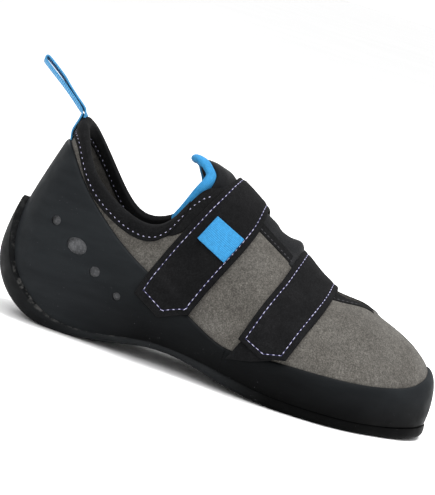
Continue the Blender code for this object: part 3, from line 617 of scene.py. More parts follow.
def make_woven(name, pale, dark, pitch, roughness):
    made, tree, shader, where = start_finish(name, roughness, 0.2)
    flat = add_node(tree, "ShaderNodeUVMap", uv_map="cloth").outputs["UV"]
    ribs = []
    for direction in ("X", "Y"):
        inputs = {"Vector": flat, "Scale": 0.314 / pitch * (1 if direction == "X" else 1.6)}
        wave = add_node(tree, "ShaderNodeTexWave", inputs, wave_type="BANDS", bands_direction=direction)
        ribs.append(wave.outputs["Fac"])
    weave = mixed(tree, "MULTIPLY", 1.0, ribs[0], ribs[1])
    threads = ramp(tree, weave, (0.05, dark), (0.75, pale))
    worn = ramp(tree, noise(tree, where, 700, 4), (0.3, 0.82), (0.7, 1.12))
    tree.links.new(mixed(tree, "MULTIPLY", 1.0, threads, worn), shader.inputs["Base Color"])
    tree.links.new(bump(tree, weave, 0.6, 0.0003), shader.inputs["Normal"])
    return made


def make_knit(name, dark, pale, cells):
    made, tree, shader, where = start_finish(name, 0.92, 0.12)
    loops = add_node(tree, "ShaderNodeTexVoronoi", {"Vector": where, "Scale": cells}).outputs["Distance"]
    cover = ramp(tree, noise(tree, where, 160, 4), (0.3, dark), (0.7, pale))
    shade = ramp(tree, loops, (0.0, 1.15), (0.7, 0.7))
    tree.links.new(mixed(tree, "MULTIPLY", 1.0, cover, shade), shader.inputs["Base Color"])
    tree.links.new(bump(tree, loops, 0.5, 0.0003), shader.inputs["Normal"])
    shader.inputs["Sheen Weight"].default_value = 0.08
    return made


blue_webbing = make_woven("blue_webbing", (0.058, 0.335, 0.62), (0.018, 0.18, 0.41), 0.55, 0.75)
pale_webbing = make_woven("pale_webbing", (0.17, 0.47, 0.70), (0.02, 0.16, 0.36), 0.9, 0.8)
grey_lining = make_knit("grey_lining", (0.07, 0.066, 0.062), (0.11, 0.104, 0.097), 1500)
black_knit = make_knit("black_knit", (0.0065, 0.0068, 0.0078), (0.011, 0.0115, 0.013), 1300)
heel_mesh = make_knit("heel_mesh", (0.07, 0.071, 0.075), (0.17, 0.173, 0.18), 900)
footbed = make_knit("footbed", (0.045, 0.043, 0.041), (0.07, 0.067, 0.063), 1100)
print("finishes:", blue_webbing.name, grey_lining.name, black_knit.name, footbed.name)

# %% [markdown]
# Thread is twisted, so a noise paints it a little brighter in places, a painted highlight on its crests.
# The seams show pale lilac dashes over a dark violet line, which is the under-thread and also painted shade
# in the seam.

# %% Thread


def make_thread(name, colour, shade):
    made, tree, shader, where = start_finish(name, 0.7, 0.25)
    # painted highlight: paler patches stand for light on the twist's crests
    twist = noise(tree, where, 2400, 2)
    tree.links.new(ramp(tree, twist, (0.3, shade), (0.7, colour)), shader.inputs["Base Color"])
    return made


lilac_thread = make_thread("lilac_thread", (0.55, 0.54, 0.70), (0.33, 0.32, 0.50))
# dark violet line: the under-thread, and painted shade along the strap seams
violet_thread_and_shade = make_thread("violet_thread_and_shade", (0.03, 0.028, 0.10), (0.016, 0.015, 0.06))
black_thread = make_thread("black_thread", (0.07, 0.07, 0.076), (0.03, 0.03, 0.034))


def make_floor_finish():
    made, tree, shader, where = start_finish("pale_floor", 0.9, 0.1)
    tone = ramp(tree, noise(tree, where, 2, 2), (0.3, 0.925), (0.7, 0.945))
    tree.links.new(tone, shader.inputs["Base Color"])
    return made


floor_mesh.materials.append(make_floor_finish())
print("threads and floor ready")

# %% [markdown]
# ## Building shells
# Nearly every piece is a thin body between two surfaces: an inner one and an outer one, both laid on the
# last. A flat grid is placed as the inner surface, extruded as a whole, and the copy is placed as the
# outer surface, so the rim closes by itself. The grid keeps each point's column and row, which also gives
# the cloth coordinates.

# %% Shells


def shell(name, columns, rows, inner, outer, finishes, slot, nodes=(), cloth=(1.0, 1.0), weld=0.02):
    """A body between two laid surfaces, with the first finish outside and the last one inside."""
    grid = bmesh.new()
    bmesh.ops.create_grid(grid, x_segments=columns, y_segments=rows, size=0.5)
    column_of = grid.verts.layers.float.new("column")
    row_of = grid.verts.layers.float.new("row")
    for vert in grid.verts:
        vert[column_of] = round((vert.co.x + 0.5) * columns) / columns
        vert[row_of] = round((vert.co.y + 0.5) * rows) / rows
        vert.co = to_frame(inner(vert[column_of], vert[row_of]))
    bmesh.ops.remove_doubles(grid, verts=grid.verts, dist=weld * MM)
    inside = grid.faces[:]
    made = bmesh.ops.extrude_face_region(grid, geom=inside, use_keep_orig=True)
    for vert in (item for item in made["geom"] if isinstance(item, bmesh.types.BMVert)):
        vert.co = to_frame(outer(vert[column_of], vert[row_of]))
    for face in inside:
        face.material_index = len(finishes) - 1
    bmesh.ops.recalc_face_normals(grid, faces=grid.faces)
    flat = grid.loops.layers.uv.new("cloth")
    for face in grid.faces:
        for loop in face.loops:
            loop[flat].uv = (loop.vert[column_of] * cloth[0], loop.vert[row_of] * cloth[1])
    return finish_piece(name, grid, finishes, nodes)


def finish_piece(name, grid, finishes, nodes=()):
    """Makes an object of a finished mesh, hangs it on the root body and hides the solids it stands for."""
    mesh = bpy.data.meshes.new(name)
    grid.to_mesh(mesh)
    grid.free()
    mesh.shade_smooth()
    mesh.set_sharp_from_angle(angle=math.radians(55))
    for finish in finishes:
        mesh.materials.append(finish)
    piece = bpy.data.objects.new(name, mesh)
    scene.collection.objects.link(piece)
    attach(piece, "root")
    if nodes:
        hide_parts(*nodes)
    print(f"{name}: {sum(len(face.vertices) - 2 for face in mesh.polygons)} triangles")
    return piece


def rounded(distance, radius):
    """How much of its thickness a rounded rim has at this distance from its edge."""
    near = 1 - min(max(distance, 0.0) / radius, 1.0)
    return math.sqrt(max(0.0, 1 - near * near))


def crowd_ends(share, by=0.85):
    """Moves evenly spread shares towards 0 and 1, where a rim needs more of them."""
    return share - by * math.sin(2 * math.pi * share) / (2 * math.pi)


print("shells ready")

# %% [markdown]
# ## Sole
# The outsole is one sheet of rubber: flat under the ball and the heel, arched between them, square along
# the forefoot and drawn up round the heel. Its upper edge is rounded, because it is ground by hand.

# %% Outsole
RING_COLUMNS = 384
SOLE_ROWS = 44
SOLE_FLAT = 0.25  # share of the rows under the foot
SOLE_ROUND = 1.3
SOLE_CROWD = 1.3  # how much closer the side's rows lie towards its upper edge


def sole_under(column, row):
    w = column * RING
    if row <= SOLE_FLAT:
        return place(w, row / SOLE_FLAT * FEATHER(w), max(0.0, SOLE_Z(w)))
    share = (row - SOLE_FLAT) / (1 - SOLE_FLAT)
    share = 1 - (1 - share) ** SOLE_CROWD
    below = (1 - share) * sole_edge_share(w) * rib_length(w)
    front = smooth_step((abs(w - HEEL) - 9) / 2)
    pull = (SOLE_SIDE(w) - SOLE_STEP) * (0.75 - 0.6 * front) * (1 - rounded(below, SOLE_ROUND))
    return place(w, *sole_side(w, share, pull))


def sole_over(column, row):
    w = column * RING
    if row <= SOLE_FLAT:
        return place(w, row / SOLE_FLAT * FEATHER(w), FEATHER_Z(w) - SOLE_STEP)
    share = (row - SOLE_FLAT) / (1 - SOLE_FLAT)
    share = 1 - (1 - share) ** SOLE_CROWD
    return on_last(w, share * sole_edge_share(w), SOLE_STEP)


shell("outsole_skin", RING_COLUMNS, SOLE_ROWS, sole_over, sole_under, [sole_rubber], "rubber", ["outsole"])

# %% [markdown]
# ## Upper
# The upper is one wall of suede with a lining, open at the collar, along the throat and underneath. The
# foot has pressed it into soft hollows and ridges, which are listed: each one lies at a place on
# the ring and a share of the section, with its length, width, slope and depth.

# %% Upper
WALL = 2.0
UPPER_ROWS = 56
Crease = namedtuple("Crease", "ring share long wide slope deep")
CREASES = [
    Crease(6.6, 0.42, 0.5, 0.05, 0.10, -0.5),
    Crease(6.2, 0.55, 0.6, 0.06, 0.12, 0.4),
    Crease(7.2, 0.62, 0.5, 0.05, 0.06, -0.35),
    Crease(3.6, 0.52, 0.7, 0.06, -0.05, -0.45),
    Crease(3.2, 0.70, 0.9, 0.08, -0.05, 0.4),
    Crease(1.4, 0.60, 0.8, 0.07, 0.04, -0.4),
    Crease(30.4, 0.62, 0.9, 0.07, -0.04, -0.45),
    Crease(28.4, 0.50, 0.7, 0.06, 0.06, -0.5),
    Crease(26.2, 0.52, 0.6, 0.05, -0.10, -0.5),
    Crease(25.4, 0.62, 0.6, 0.06, -0.08, 0.4),
    Crease(21.6, 0.72, 0.4, 0.05, 0.05, -0.4),
    Crease(10.6, 0.72, 0.4, 0.05, -0.05, -0.35),
]


def creased(w, share):
    total = 0.0
    for crease in CREASES:
        along = w % RING - crease.ring
        off = share - crease.share - crease.slope * along
        total += crease.deep * math.exp(-((along / crease.long) ** 2) - (off / crease.wide) ** 2)
    return total


def upper_face(lift):
    def at(column, row):
        w = column * RING
        share = row**1.35
        return on_last(w, share, lift + creased(w, share))

    return at


upper = shell(
    "upper_skin", RING_COLUMNS, UPPER_ROWS, upper_face(-WALL), upper_face(0.0),
    [grey_suede, grey_lining], "suede", ["upper"], weld=0.05,
)

# %% [markdown]
# ## Rubber bands
# A thin band of rubber is wrapped round the toe and a higher one round the heel, each from the sole's
# edge up to its own line. Their edges are skived thin, the toe's over a wider margin than the heel's. The
# two bands meet at the arch.

# %% Toe and heel rubber
RAND = 1.9
RAND_GAP = 0.5
GAP = 0.35
RAND_JOIN = 9.0
RAND_JOIN_GAP = 0.005
RAND_LAY = 0.2  # how far its inner face is off the last
TOE_SKIVE, HEEL_SKIVE = 7.0, 2.6


def band_face(first, last, skive, outside):
    def at(column, row):
        w = first + crowd_ends(column, 0.5) * (last - first)
        low = sole_edge_share(w) + GAP / rib_length(w)
        high = share_at(w, RUBBER_TOP(w))
        share = low + crowd_ends(row, 0.6) * (high - low)
        rim = rounded((high - share) * rib_length(w), skive)
        full = RAND + RAND_GAP - RAND_LAY
        return on_last(w, share, RAND_LAY + (full * (0.14 + 0.86 * rim) if outside else 0.0))

    return at


def rubber_band(name, first, last, skive, columns, rows, node):
    faces = band_face(first, last, skive, False), band_face(first, last, skive, True)
    return shell(name, columns, rows, *faces, [black_rubber], "rubber", [node])


toe_station = RAND_JOIN + RAND_JOIN_GAP
toe_ends = HEEL + toe_station, RING + HEEL - toe_station
heel_ends = HEEL - RAND_JOIN, HEEL + RAND_JOIN
rubber_band("toe_rand_skin", *toe_ends, TOE_SKIVE, 200, 30, "toe_rand")
heel_rand = rubber_band("heel_rand_skin", *heel_ends, HEEL_SKIVE, 240, 64, "heel_rand")

# %% [markdown]
# The heel rubber has four round cut-outs on each side, and a grey mesh shows behind them. A clean round
# hole is hard to get from a grid, so a Boolean cuts them with bars that run right across the heel. The
# bars are then removed, and the upper's faces behind each hole get the mesh finish.

# %% Cut-outs
CutOut = namedtuple("CutOut", "x z long high slope")
CUT_OUTS = [
    CutOut(28.0, 58.5, 5.2, 5.2, 0),
    CutOut(43.0, 49.0, 11.4, 8.6, -12),
    CutOut(56.4, 38.9, 5.8, 5.8, 0),
    CutOut(71.6, 30.2, 4.4, 4.4, 0),
]
CUT_SIDES = 40
CUT_LONG = 100.0
CUT_MARGIN = 3.0  # how far the mesh reaches past a hole

bars = bmesh.new()
for cut in CUT_OUTS:
    size = Matrix.Diagonal((cut.long, cut.high, CUT_LONG, 1))
    turn = Matrix.Rotation(math.radians(90), 4, "X") @ Matrix.Rotation(math.radians(cut.slope), 4, "Z")
    at = Matrix.Translation(to_frame(Vector((cut.x, 0, cut.z))))
    bmesh.ops.create_cone(
        bars, cap_ends=True, segments=CUT_SIDES, radius1=0.5, radius2=0.5, depth=1.0,
        matrix=at @ turn @ Matrix.Scale(MM, 4) @ size,
    )
bars_mesh = bpy.data.meshes.new("cut_outs")
bars.to_mesh(bars_mesh)
bars.free()
cutter = bpy.data.objects.new("cut_outs", bars_mesh)
scene.collection.objects.link(cutter)
holes = heel_rand.modifiers.new("cut_outs", "BOOLEAN")
holes.operation = "DIFFERENCE"
holes.object = cutter
cut_mesh = bpy.data.meshes.new_from_object(heel_rand.evaluated_get(bpy.context.evaluated_depsgraph_get()))
heel_rand.modifiers.remove(holes)
heel_rand.data = cut_mesh
bpy.data.objects.remove(cutter)
print("heel rubber faces after the cut:", len(cut_mesh.polygons))

upper.data.materials.append(heel_mesh)
behind = 0
for face in upper.data.polygons:
    spot = face.center / MM - SHIFT
    for cut in CUT_OUTS:
        near = abs(spot.x - cut.x) < cut.long / 2 + CUT_MARGIN
        near = near and abs(spot.z - cut.z) < cut.high / 2 + CUT_MARGIN
        if near and face.material_index == 0:
            face.material_index = 2
            behind += 1
print("faces behind the cut-outs:", behind)

# %% [markdown]
# ## Footbed
# The footbed lies on the upper's turned-in margin. It is dished a little under the heel and the ball, as a
# worn one is.

# %% Footbed
INSOLE = 2.2
INSOLE_CLEAR = 0.7
INSOLE_DISH = 0.5


def insole_face(height):
    def at(column, row):
        w = column * RING
        clear = WALL + INSOLE_CLEAR
        reach, level_z, _, out_r, out_z = rib(w)
        under = FEATHER_Z(w) + clear
        edge = float(np.interp(under, level_z - clear * out_z, reach - clear * out_r))
        dish = INSOLE_DISH * (1 - row * row) if height else 0.0
        rim = rounded((1 - row) * 20, 1.0)
        out = row * max(edge - INSOLE_CLEAR, INSOLE_CLEAR)
        return place(w, out, under + height * (0.4 + 0.6 * rim) - dish)

    return at


shell("footbed_skin", 192, 16, insole_face(0.0), insole_face(INSOLE), [footbed], "footbed", ["insole"])

# %% [markdown]
# ## Collar
# A padded band of black suede is folded over the collar's edge and sewn through near its foot. The seam
# presses a groove into the padding, so the band swells above it. The profile is a smooth curve through a
# few points: lift off the last, and distance past the edge.

# %% Profile of the collar binding
BINDING_DEEP = 8.0
BINDING_HEEL = 1.0
BINDING_OUT = GAP + 0.25
BINDING_IN = -WALL - GAP - 0.25
BINDING_THIN = 1.0
BINDING_ROLL = 1.4
BINDING_END = 6.5
BINDING_FOLD = 8.4  # its depth inside the shoe
BINDING_SEAM = 2.4  # the seam's height above the band's foot
BINDING_SIDES = 60

binding_top = GAP + BINDING_ROLL
binding_outer = BINDING_OUT + BINDING_ROLL
binding_inner = BINDING_IN - BINDING_ROLL
BINDING_FACE = open_curve([
    (BINDING_OUT + 0.15, -BINDING_DEEP, 0),
    (BINDING_OUT + 0.95 * BINDING_THIN, -BINDING_DEEP + 0.7, 0),
    (BINDING_OUT + 0.6 * BINDING_THIN, -BINDING_DEEP + BINDING_SEAM, 0),
    (binding_outer - 0.1, -BINDING_DEEP + 4.4, 0),
    (binding_outer + 0.1, -2.4, 0),
    (binding_outer - 0.35, 0.2, 0),
    ((BINDING_OUT + BINDING_IN) / 2, binding_top, 0),
    (binding_inner + 0.35, 0.2, 0),
    (binding_inner - 0.1, -1.6, 0),
    (binding_inner + 0.1, -BINDING_FOLD + 3.6, 0),
    (BINDING_IN - 0.6 * BINDING_THIN, -BINDING_FOLD + 2.0, 0),
    (BINDING_IN - 0.95 * BINDING_THIN, -BINDING_FOLD + 0.7, 0),
    (BINDING_IN - 0.15, -BINDING_FOLD, 0),
])
print(f"the binding is {binding_outer - binding_inner:.1f} mm thick over the edge")

# %% [markdown]
# The profile is carried along the collar's edge from one end of the throat to the other. Behind the heel
# the band is a little deeper, because it takes the pull loop there. Its inner face is a plain fold round
# the upper's wall, so the padding lies between the two.

# %% Collar binding


def binding_stretch(w):
    """How much deeper than its profile the binding is in section w."""
    return 1 + BINDING_HEEL / BINDING_DEEP * (1 - smooth_step((abs(w - HEEL) - 2.5) / 2.5))


def binding_at(w, share):
    lift, past, _ = BINDING_FACE(share)
    down = max(-past, 0.0) * binding_stretch(w)
    return on_last(w, share_back(w, 1.0, down), lift, max(past, 0.0))


def binding_outside(column, row):
    return binding_at(HEEL - BINDING_END + column * 2 * BINDING_END, row)


def binding_inside(column, row):
    w = HEEL - BINDING_END + column * 2 * BINDING_END
    turn = min(max((row - 0.42) / 0.16, 0.0), 1.0)
    lift = BINDING_OUT + (BINDING_IN - BINDING_OUT) * turn
    deep = BINDING_DEEP if row < 0.5 else BINDING_FOLD
    down = deep * binding_stretch(w) * max(abs(row - 0.5) - 0.08, 0.0) / 0.42
    return on_last(w, share_back(w, 1.0, down), lift, 0.0 if down else GAP)


collar = shell(
    "collar_binding_skin", 220, BINDING_SIDES, binding_inside, binding_outside,
    [black_suede], "black_suede", ["collar_binding"],
)

# %% [markdown]
# ## Over the instep
# Straps, tongue and label lie across the shoe, not along its ring, so they follow lines over the shoe at a
# given place along it: up the outer wall, over the throat, down the inner wall. A strap also climbs onto
# the rubber at its ends.

# %% Lines over the shoe
STATIONS = np.linspace(2.6, HEEL - 2, 400)
STATION_X = np.array([SPINE_X(HEEL + station) for station in STATIONS])


def station_at(x):
    """How many sections from the heel back the spine is at x."""
    return float(np.interp(x, STATION_X, STATIONS))


@lru_cache(maxsize=None)
def across(x):
    """The line over the shoe at x from feather to feather, and its length from the throat's middle."""
    station = station_at(x)
    sides = []
    for w in (HEEL - station, HEEL + station):
        reach, height, _, _, _ = rib(w)
        sides.append(np.array([place(w, r, z) for r, z in zip(reach, height)]))
    lateral, medial = sides
    ends = [side[-1] for side in sides]
    ways = [(side[-1] - side[-3]) / np.linalg.norm(side[-1] - side[-3]) for side in sides]
    hold = 0.37 * np.linalg.norm(ends[1] - ends[0])
    t = np.linspace(0, 1, 17)[:, None]
    bridge = (
        (1 - t) ** 3 * ends[0]
        + 3 * t * (1 - t) ** 2 * (ends[0] + hold * ways[0])
        + 3 * t**2 * (1 - t) * (ends[1] + hold * ways[1])
        + t**3 * ends[1]
    )
    line = np.vstack([lateral[:-1], bridge, medial[-2::-1]])
    run = np.append(0, np.cumsum(np.linalg.norm(np.diff(line, axis=0), axis=1)))
    keep = np.append(True, np.diff(run) > 1e-6)
    line, run = line[keep], run[keep]
    middle = np.linalg.norm(np.diff(lateral[:-1], axis=0), axis=1).sum()
    middle += np.linalg.norm(lateral[-1] - lateral[-2])
    gap = np.linalg.norm(np.diff(bridge, axis=0), axis=1).sum()
    way = np.gradient(line, run, axis=0)
    out = np.cross((1, 0, 0), way)
    out /= np.linalg.norm(out, axis=1)[:, None]
    return line, run - middle - gap / 2, out, gap / 2


def over(x, along, lift=0.0):
    """A point over the shoe at x, this far along the curve from the throat's middle, lateral below zero."""
    line, run, out, _ = across(round(x, 1))
    point = [np.interp(along, run, line[:, axis]) for axis in range(3)]
    way = [np.interp(along, run, out[:, axis]) for axis in range(3)]
    point[0] += x - round(x, 1)
    return Vector(point) + Vector(way) * float(lift)


print(f"throat at the instep: {2 * across(119.0)[3]:.1f} mm wide")

# %% [markdown]
# ## Straps
# Each strap is a band of black suede with a rounded rim, sewn all round about 3 mm inside it. Two straps
# close the shoe. A strap leans back on its way down, is narrower on top and has a cut corner at its outer
# end, so one row of a table says all that tells the two apart.

# %% Values of the straps
STRAP = 1.9
STRAP_GAP = 0.55
STRAP_SLACK = 0.1
STRAP_SIDE = (16.0, 34.0)
STRAP_RAMP = 8.0
STRAP_LEAD = 1.0
STRAP_SPARE = -0.2
STRAP_SEAM = 3.0
STRAP_BLUNT = 0.15
SEAM_PRESS, SEAM_WIDE = 0.3, 0.7  # how deep and how wide a seam is pressed in
STRAP_SWELL, SWELL_WIDE = 0.25, 3.0  # how full the middle is
STRAP_THIN, THIN_WIDE = 0.5, 5.0  # how much thinner the rim is
PAD = 0.8
PATCH_GAP = 0.2  # air between the front strap and its patch
Strap = namedtuple("Strap", "top lean round half waist lat_end med_end corner skew")
STRAP_REAR = Strap(122.8, 0.49, 40.0, 13.9, 3.4, 28.1, 46.0, 8.8, 0.5)
STRAP_FRONT = Strap(169.4, 0.3, 30.0, 12.4, 0.5, 25.5, 33.0, 7.8, 0.4)
PAD_SPAN = (22.0, 41.0)
PAD_FADE = 18.0
print(f"straps: {2 * STRAP_REAR.half:.1f} and {2 * STRAP_FRONT.half:.1f} mm wide")

# %% [markdown]
# A strap's middle line is known by how far along it a point is. Near the throat its cross lines run along
# the shoe. On the walls they settle to a height that falls towards the toe, which keeps the rims even
# where the wall is steep.

# %% Lines of the straps


def strap_x(strap, along):
    return strap.top - strap.lean * (math.hypot(along, strap.round) - strap.round)


def strap_lift(x, along):
    """How far a strap stands off the last: it climbs onto the rubber at its ends."""
    w = HEEL + math.copysign(station_at(x), along)
    rise = RUBBER_TOP(w) + STRAP_LEAD + STRAP_RAMP - over(x, along).z
    return STRAP_GAP + (RAND + RAND_GAP + STRAP_SPARE) * smooth_step(rise / STRAP_RAMP)


def along_at(strap, side, height):
    """How far along a strap its centre line comes down to this height."""
    steps = np.linspace(2, 120, 237)
    levels = [over(strap_x(strap, side * step), side * step).z for step in steps]
    return side * float(np.interp(-height, -np.array(levels), steps))


def along_on_side(x, side, height):
    """How far along the line over the shoe at x its lateral (-1) or medial (1) wall has this height."""
    line, run, _, throat = across(round(x, 1))
    wall = run * side > throat
    order = np.argsort(line[wall, 2])
    return float(np.interp(height, line[wall, 2][order], run[wall][order]))


def strap_point(strap, along, wide_share, half, lift, shift=0.0):
    """A point of a band along a strap, wide_share -1 at its rear rim and 1 at its front rim."""
    wide = half - strap.waist * math.exp(-((along / 20) ** 2))
    middle = strap_x(strap, along)
    x = middle + wide_share * wide + shift
    hold = smooth_step((abs(along) - STRAP_SIDE[0]) / (STRAP_SIDE[1] - STRAP_SIDE[0]))
    if hold > 0:
        height = over(middle, along).z - strap.skew * (x - middle)
        along += hold * (along_on_side(x, math.copysign(1, along), height) - along)
    return over(x, along, strap_lift(x, along) + lift)


for strap in (STRAP_REAR, STRAP_FRONT):
    print(f"a strap ends {-along_at(strap, -1, strap.lat_end):.1f} mm down the outer wall")

# %% [markdown]
# Straps, patch and label are all bands along a strap. Thickness is added in the laying function, so that
# the rim can be round, the middle a little full and the seam pressed in.

# %% Bands


class Band:
    """A band along a strap between two places, with a cut corner at its lateral end."""

    def __init__(self, strap, low, high, half, raised, thick, shift=0.0, sweep=0.0, seam=None):
        self.strap, self.low, self.high = strap, low, high
        self.half, self.raised, self.thick = half, raised, thick
        self.shift, self.sweep, self.seam = shift, sweep, seam

    def start(self, wide_share):
        return self.low + self.strap.corner * max(0.0, wide_share - STRAP_BLUNT) / (1 - STRAP_BLUNT)

    def at(self, from_end, wide_share, top):
        """A point this far from the lateral end, on the upper face (top 1) or the lower one (top 0)."""
        start = self.start(wide_share)
        length = self.high - start
        rim = min((1 - abs(wide_share)) * self.half, from_end, length - from_end)
        lift = self.thick * (0.5 + (top - 0.5) * rounded(rim, self.thick * 0.55))
        if top and self.seam:
            lift -= SEAM_PRESS * math.exp(-(((rim - self.seam) / SEAM_WIDE) ** 2))
            lift += STRAP_SWELL * smooth_step((rim - self.seam) / SWELL_WIDE)
            lift -= STRAP_THIN * (1 - smooth_step(rim / THIN_WIDE))
        shift = self.shift + self.sweep * (1 - from_end / length)
        along = start + from_end
        return strap_point(self.strap, along, wide_share, self.half, self.raised(along) + lift, shift)

    def face(self, top):
        def lay(column, row):
            wide_share = math.sin((row - 0.5) * math.pi)
            length = self.high - self.start(wide_share)
            return self.at(crowd_ends(column, 0.92) * length, wide_share, top)

        return lay

    def shell(self, name, columns, rows, finish, slot, node):
        cloth = (self.high - self.low, 2 * self.half)
        return shell(name, columns, rows, self.face(0), self.face(1), [finish], slot, [node], cloth)


def strap_band(strap, raised):
    low, high = along_at(strap, -1, strap.lat_end), along_at(strap, 1, strap.med_end)
    return Band(strap, low, high, strap.half, raised, STRAP, seam=STRAP_SEAM)


def steady(height):
    """The same raise all along a strap."""
    return lambda along: height


rear_band = strap_band(STRAP_REAR, steady(0.0))
print(f"the rear strap is {rear_band.high - rear_band.low:.1f} mm long")

# %% [markdown]
# The rear strap lies straight on the shoe. The front one passes over its patch at the outer end, so it is
# raised there and comes down above it.

# %% Straps
patch_end = along_at(STRAP_FRONT, -1, PAD_SPAN[1]) + PAD_FADE


def over_patch(along):
    """The front strap is raised over its patch and comes down above it."""
    return STRAP_SLACK + (PAD + PATCH_GAP) * smooth_step((patch_end - along) / PAD_FADE)


front_band = strap_band(STRAP_FRONT, over_patch)
rear_band.shell("strap_rear_skin", 150, 34, black_suede, "black_suede", "strap_rear")
front_band.shell("strap_front_skin", 150, 34, black_suede, "black_suede", "strap_front")

# %% [markdown]
# The front strap closes on a thin patch sewn to the upper, which shows behind the strap's end. A plain
# woven label is sewn across the rear strap.

# %% Patch and label
PAD_SHIFT = -3.0
PAD_SKEW = -0.2
LABEL = 0.8
LABEL_SPAN = (69.3, 82.7)
LABEL_HALF = 8.8
LABEL_SKEW = 0.45
LABEL_SHIFT = 2.2

pad_low, pad_high = (along_at(STRAP_FRONT, -1, height) for height in PAD_SPAN)
pad_strap = STRAP_FRONT._replace(corner=2.0, skew=PAD_SKEW)
pad_band = Band(pad_strap, pad_low, pad_high, pad_strap.half - 1.0, steady(0.0), PAD, sweep=PAD_SHIFT)
pad_band.shell("strap_pad_skin", 30, 30, black_suede, "black_suede", "strap_pad")

label_low, label_high = (along_at(STRAP_REAR, -1, height) for height in LABEL_SPAN)
label_strap = STRAP_REAR._replace(corner=0.0, skew=LABEL_SKEW)
label_raise = steady(STRAP + STRAP_GAP)
label_band = Band(label_strap, label_low, label_high, LABEL_HALF, label_raise, LABEL, LABEL_SHIFT)
label_band.shell("label_skin", 40, 40, blue_webbing, "blue_webbing", "label")

# %% [markdown]
# ## Tongue
# The tongue is padded: under the throat it swells into the opening, and its free end stands up inside the
# collar. Its surface runs through rows of points, first across the throat at a few places along the shoe,
# then out to the free edge, which is a list of points.

# %% Rows of the tongue
TONGUE = 3.4
TONGUE_UNDER = [(198, 9), (188, 15), (174, 19), (154, 22), (134, 23), (109, 21)]
UNDER_ROWS = 10
TONGUE_EDGE = [
    (88.5, -15.9, 75.0),
    (93.4, -14.6, 83.0),
    (98.0, -13.0, 92.0),
    (101.4, -11.4, 100.0),
    (101.6, -8.6, 106.6),
    (97.0, -4.8, 111.0),
    (91.6, 0.6, 112.0),
    (90.2, 5.6, 110.4),
    (90.6, 9.8, 106.0),
    (93.2, 12.8, 100.6),
    (95.0, 14.8, 93.4),
    (92.6, 16.2, 85.5),
    (88.6, 17.3, 78.0),
]
TONGUE_ARCH = 1.8
TONGUE_SINK = 0.4
TONGUE_CLEAR = 1.8
TONGUE_COLUMNS = 60
TONGUE_ROWS = 90


def tongue_rows(shares):
    """The tongue's rows from its hidden front end to its top, each from its lateral to its medial side."""
    rows = []
    places, halves = zip(*TONGUE_UNDER[::-1])
    for x in np.linspace(places[-1], places[0], UNDER_ROWS):
        half = np.interp(x, places, halves)
        throat = across(round(float(x), 1))[3]
        row = []
        for share in shares:
            along = share * half
            open_share = smooth_step((throat - 2 - abs(along)) / max(throat, 1.0))
            lift = -(WALL + TONGUE_CLEAR) + (WALL + TONGUE_CLEAR - TONGUE_SINK) * open_share
            row.append(over(float(x), along, lift))
        rows.append(row)
    brim = open_curve(TONGUE_EDGE)
    edge = [brim((share + 1) / 2) for share in shares]
    arch = [Vector((0, 0, TONGUE_ARCH * math.cos(share * math.pi / 2))) for share in shares]
    rows.append([(under + rim) / 2 + rise for under, rim, rise in zip(rows[-1], edge, arch)])
    rows.append(edge)
    return rows


tongue_lines = [open_curve(line) for line in zip(*tongue_rows(np.linspace(-1, 1, TONGUE_COLUMNS + 1)))]
tongue_top = np.array([[line(k / TONGUE_ROWS) for k in range(TONGUE_ROWS + 1)] for line in tongue_lines])
tongue_out = np.cross(np.gradient(tongue_top, axis=1), np.gradient(tongue_top, axis=0))
tongue_out *= -1 / np.linalg.norm(tongue_out, axis=2)[:, :, None]
print("tongue grid:", tongue_top.shape)

# %% [markdown]
# The straps press the tongue together, so it stands up in a fold before each of them and dips between two
# small ones. A fold is a ridge across the tongue: where it lies, how it slopes, how wide it is and how
# high.

# %% Tongue
TONGUE_RIM = 1.8  # radius of its rounded rim
TONGUE_CELL = 0.7  # about the distance between two lines of its grid
Fold = namedtuple("Fold", "x slope wide high")
TONGUE_FOLDS = [
    Fold(153.2, 0.05, 4.2, 4.0),
    Fold(143.2, -0.08, 2.6, -0.5),
    Fold(139.0, 0.1, 2.8, 0.4),
    Fold(107.4, 0.0, 3.8, 1.3),
]

for fold in TONGUE_FOLDS:
    off = (tongue_top[:, :, 0] - fold.x - fold.slope * tongue_top[:, :, 1]) / fold.wide
    tongue_top += tongue_out * (fold.high * np.exp(-(off**2)))[:, :, None]


def tongue_face(top):
    def at(column, row):
        i, j = round(column * TONGUE_COLUMNS), round(row * TONGUE_ROWS)
        rim = min(i, TONGUE_COLUMNS - i, j, TONGUE_ROWS - j) * TONGUE_CELL
        drop = TONGUE * (0.5 - (top - 0.5) * rounded(rim, TONGUE_RIM))
        return Vector(tongue_top[i, j] - tongue_out[i, j] * drop)

    return at


tongue = shell(
    "tongue_skin", TONGUE_COLUMNS, TONGUE_ROWS, tongue_face(0), tongue_face(1),
    [black_knit], "tongue_fabric", ["tongue"],
)

# %% [markdown]
# The tongue's free edge is bound with a rolled strip of blue webbing. Outside and on top it is full, as a
# grip for two fingers, and down the inner side it lies flat on the tongue. The tongue's last row gives
# the roll its line, and a direction along and out of the surface at each point.

# %% Line of the rolled edge
ROLL_OUT = 2.5  # half thickness of the roll
ROLL_WIDE = 3.4  # half its width
ROLL_SIZE = [
    (0.0, 1.0), (0.2, 1.0), (0.3, 0.86), (0.38, 0.8), (0.46, 1.0), (0.56, 0.95), (0.66, 0.4), (1.0, 0.4),
]
ROLL_SIDES = 24
ROLL_COLUMNS = 160
TONGUE_ROLL = 2.8

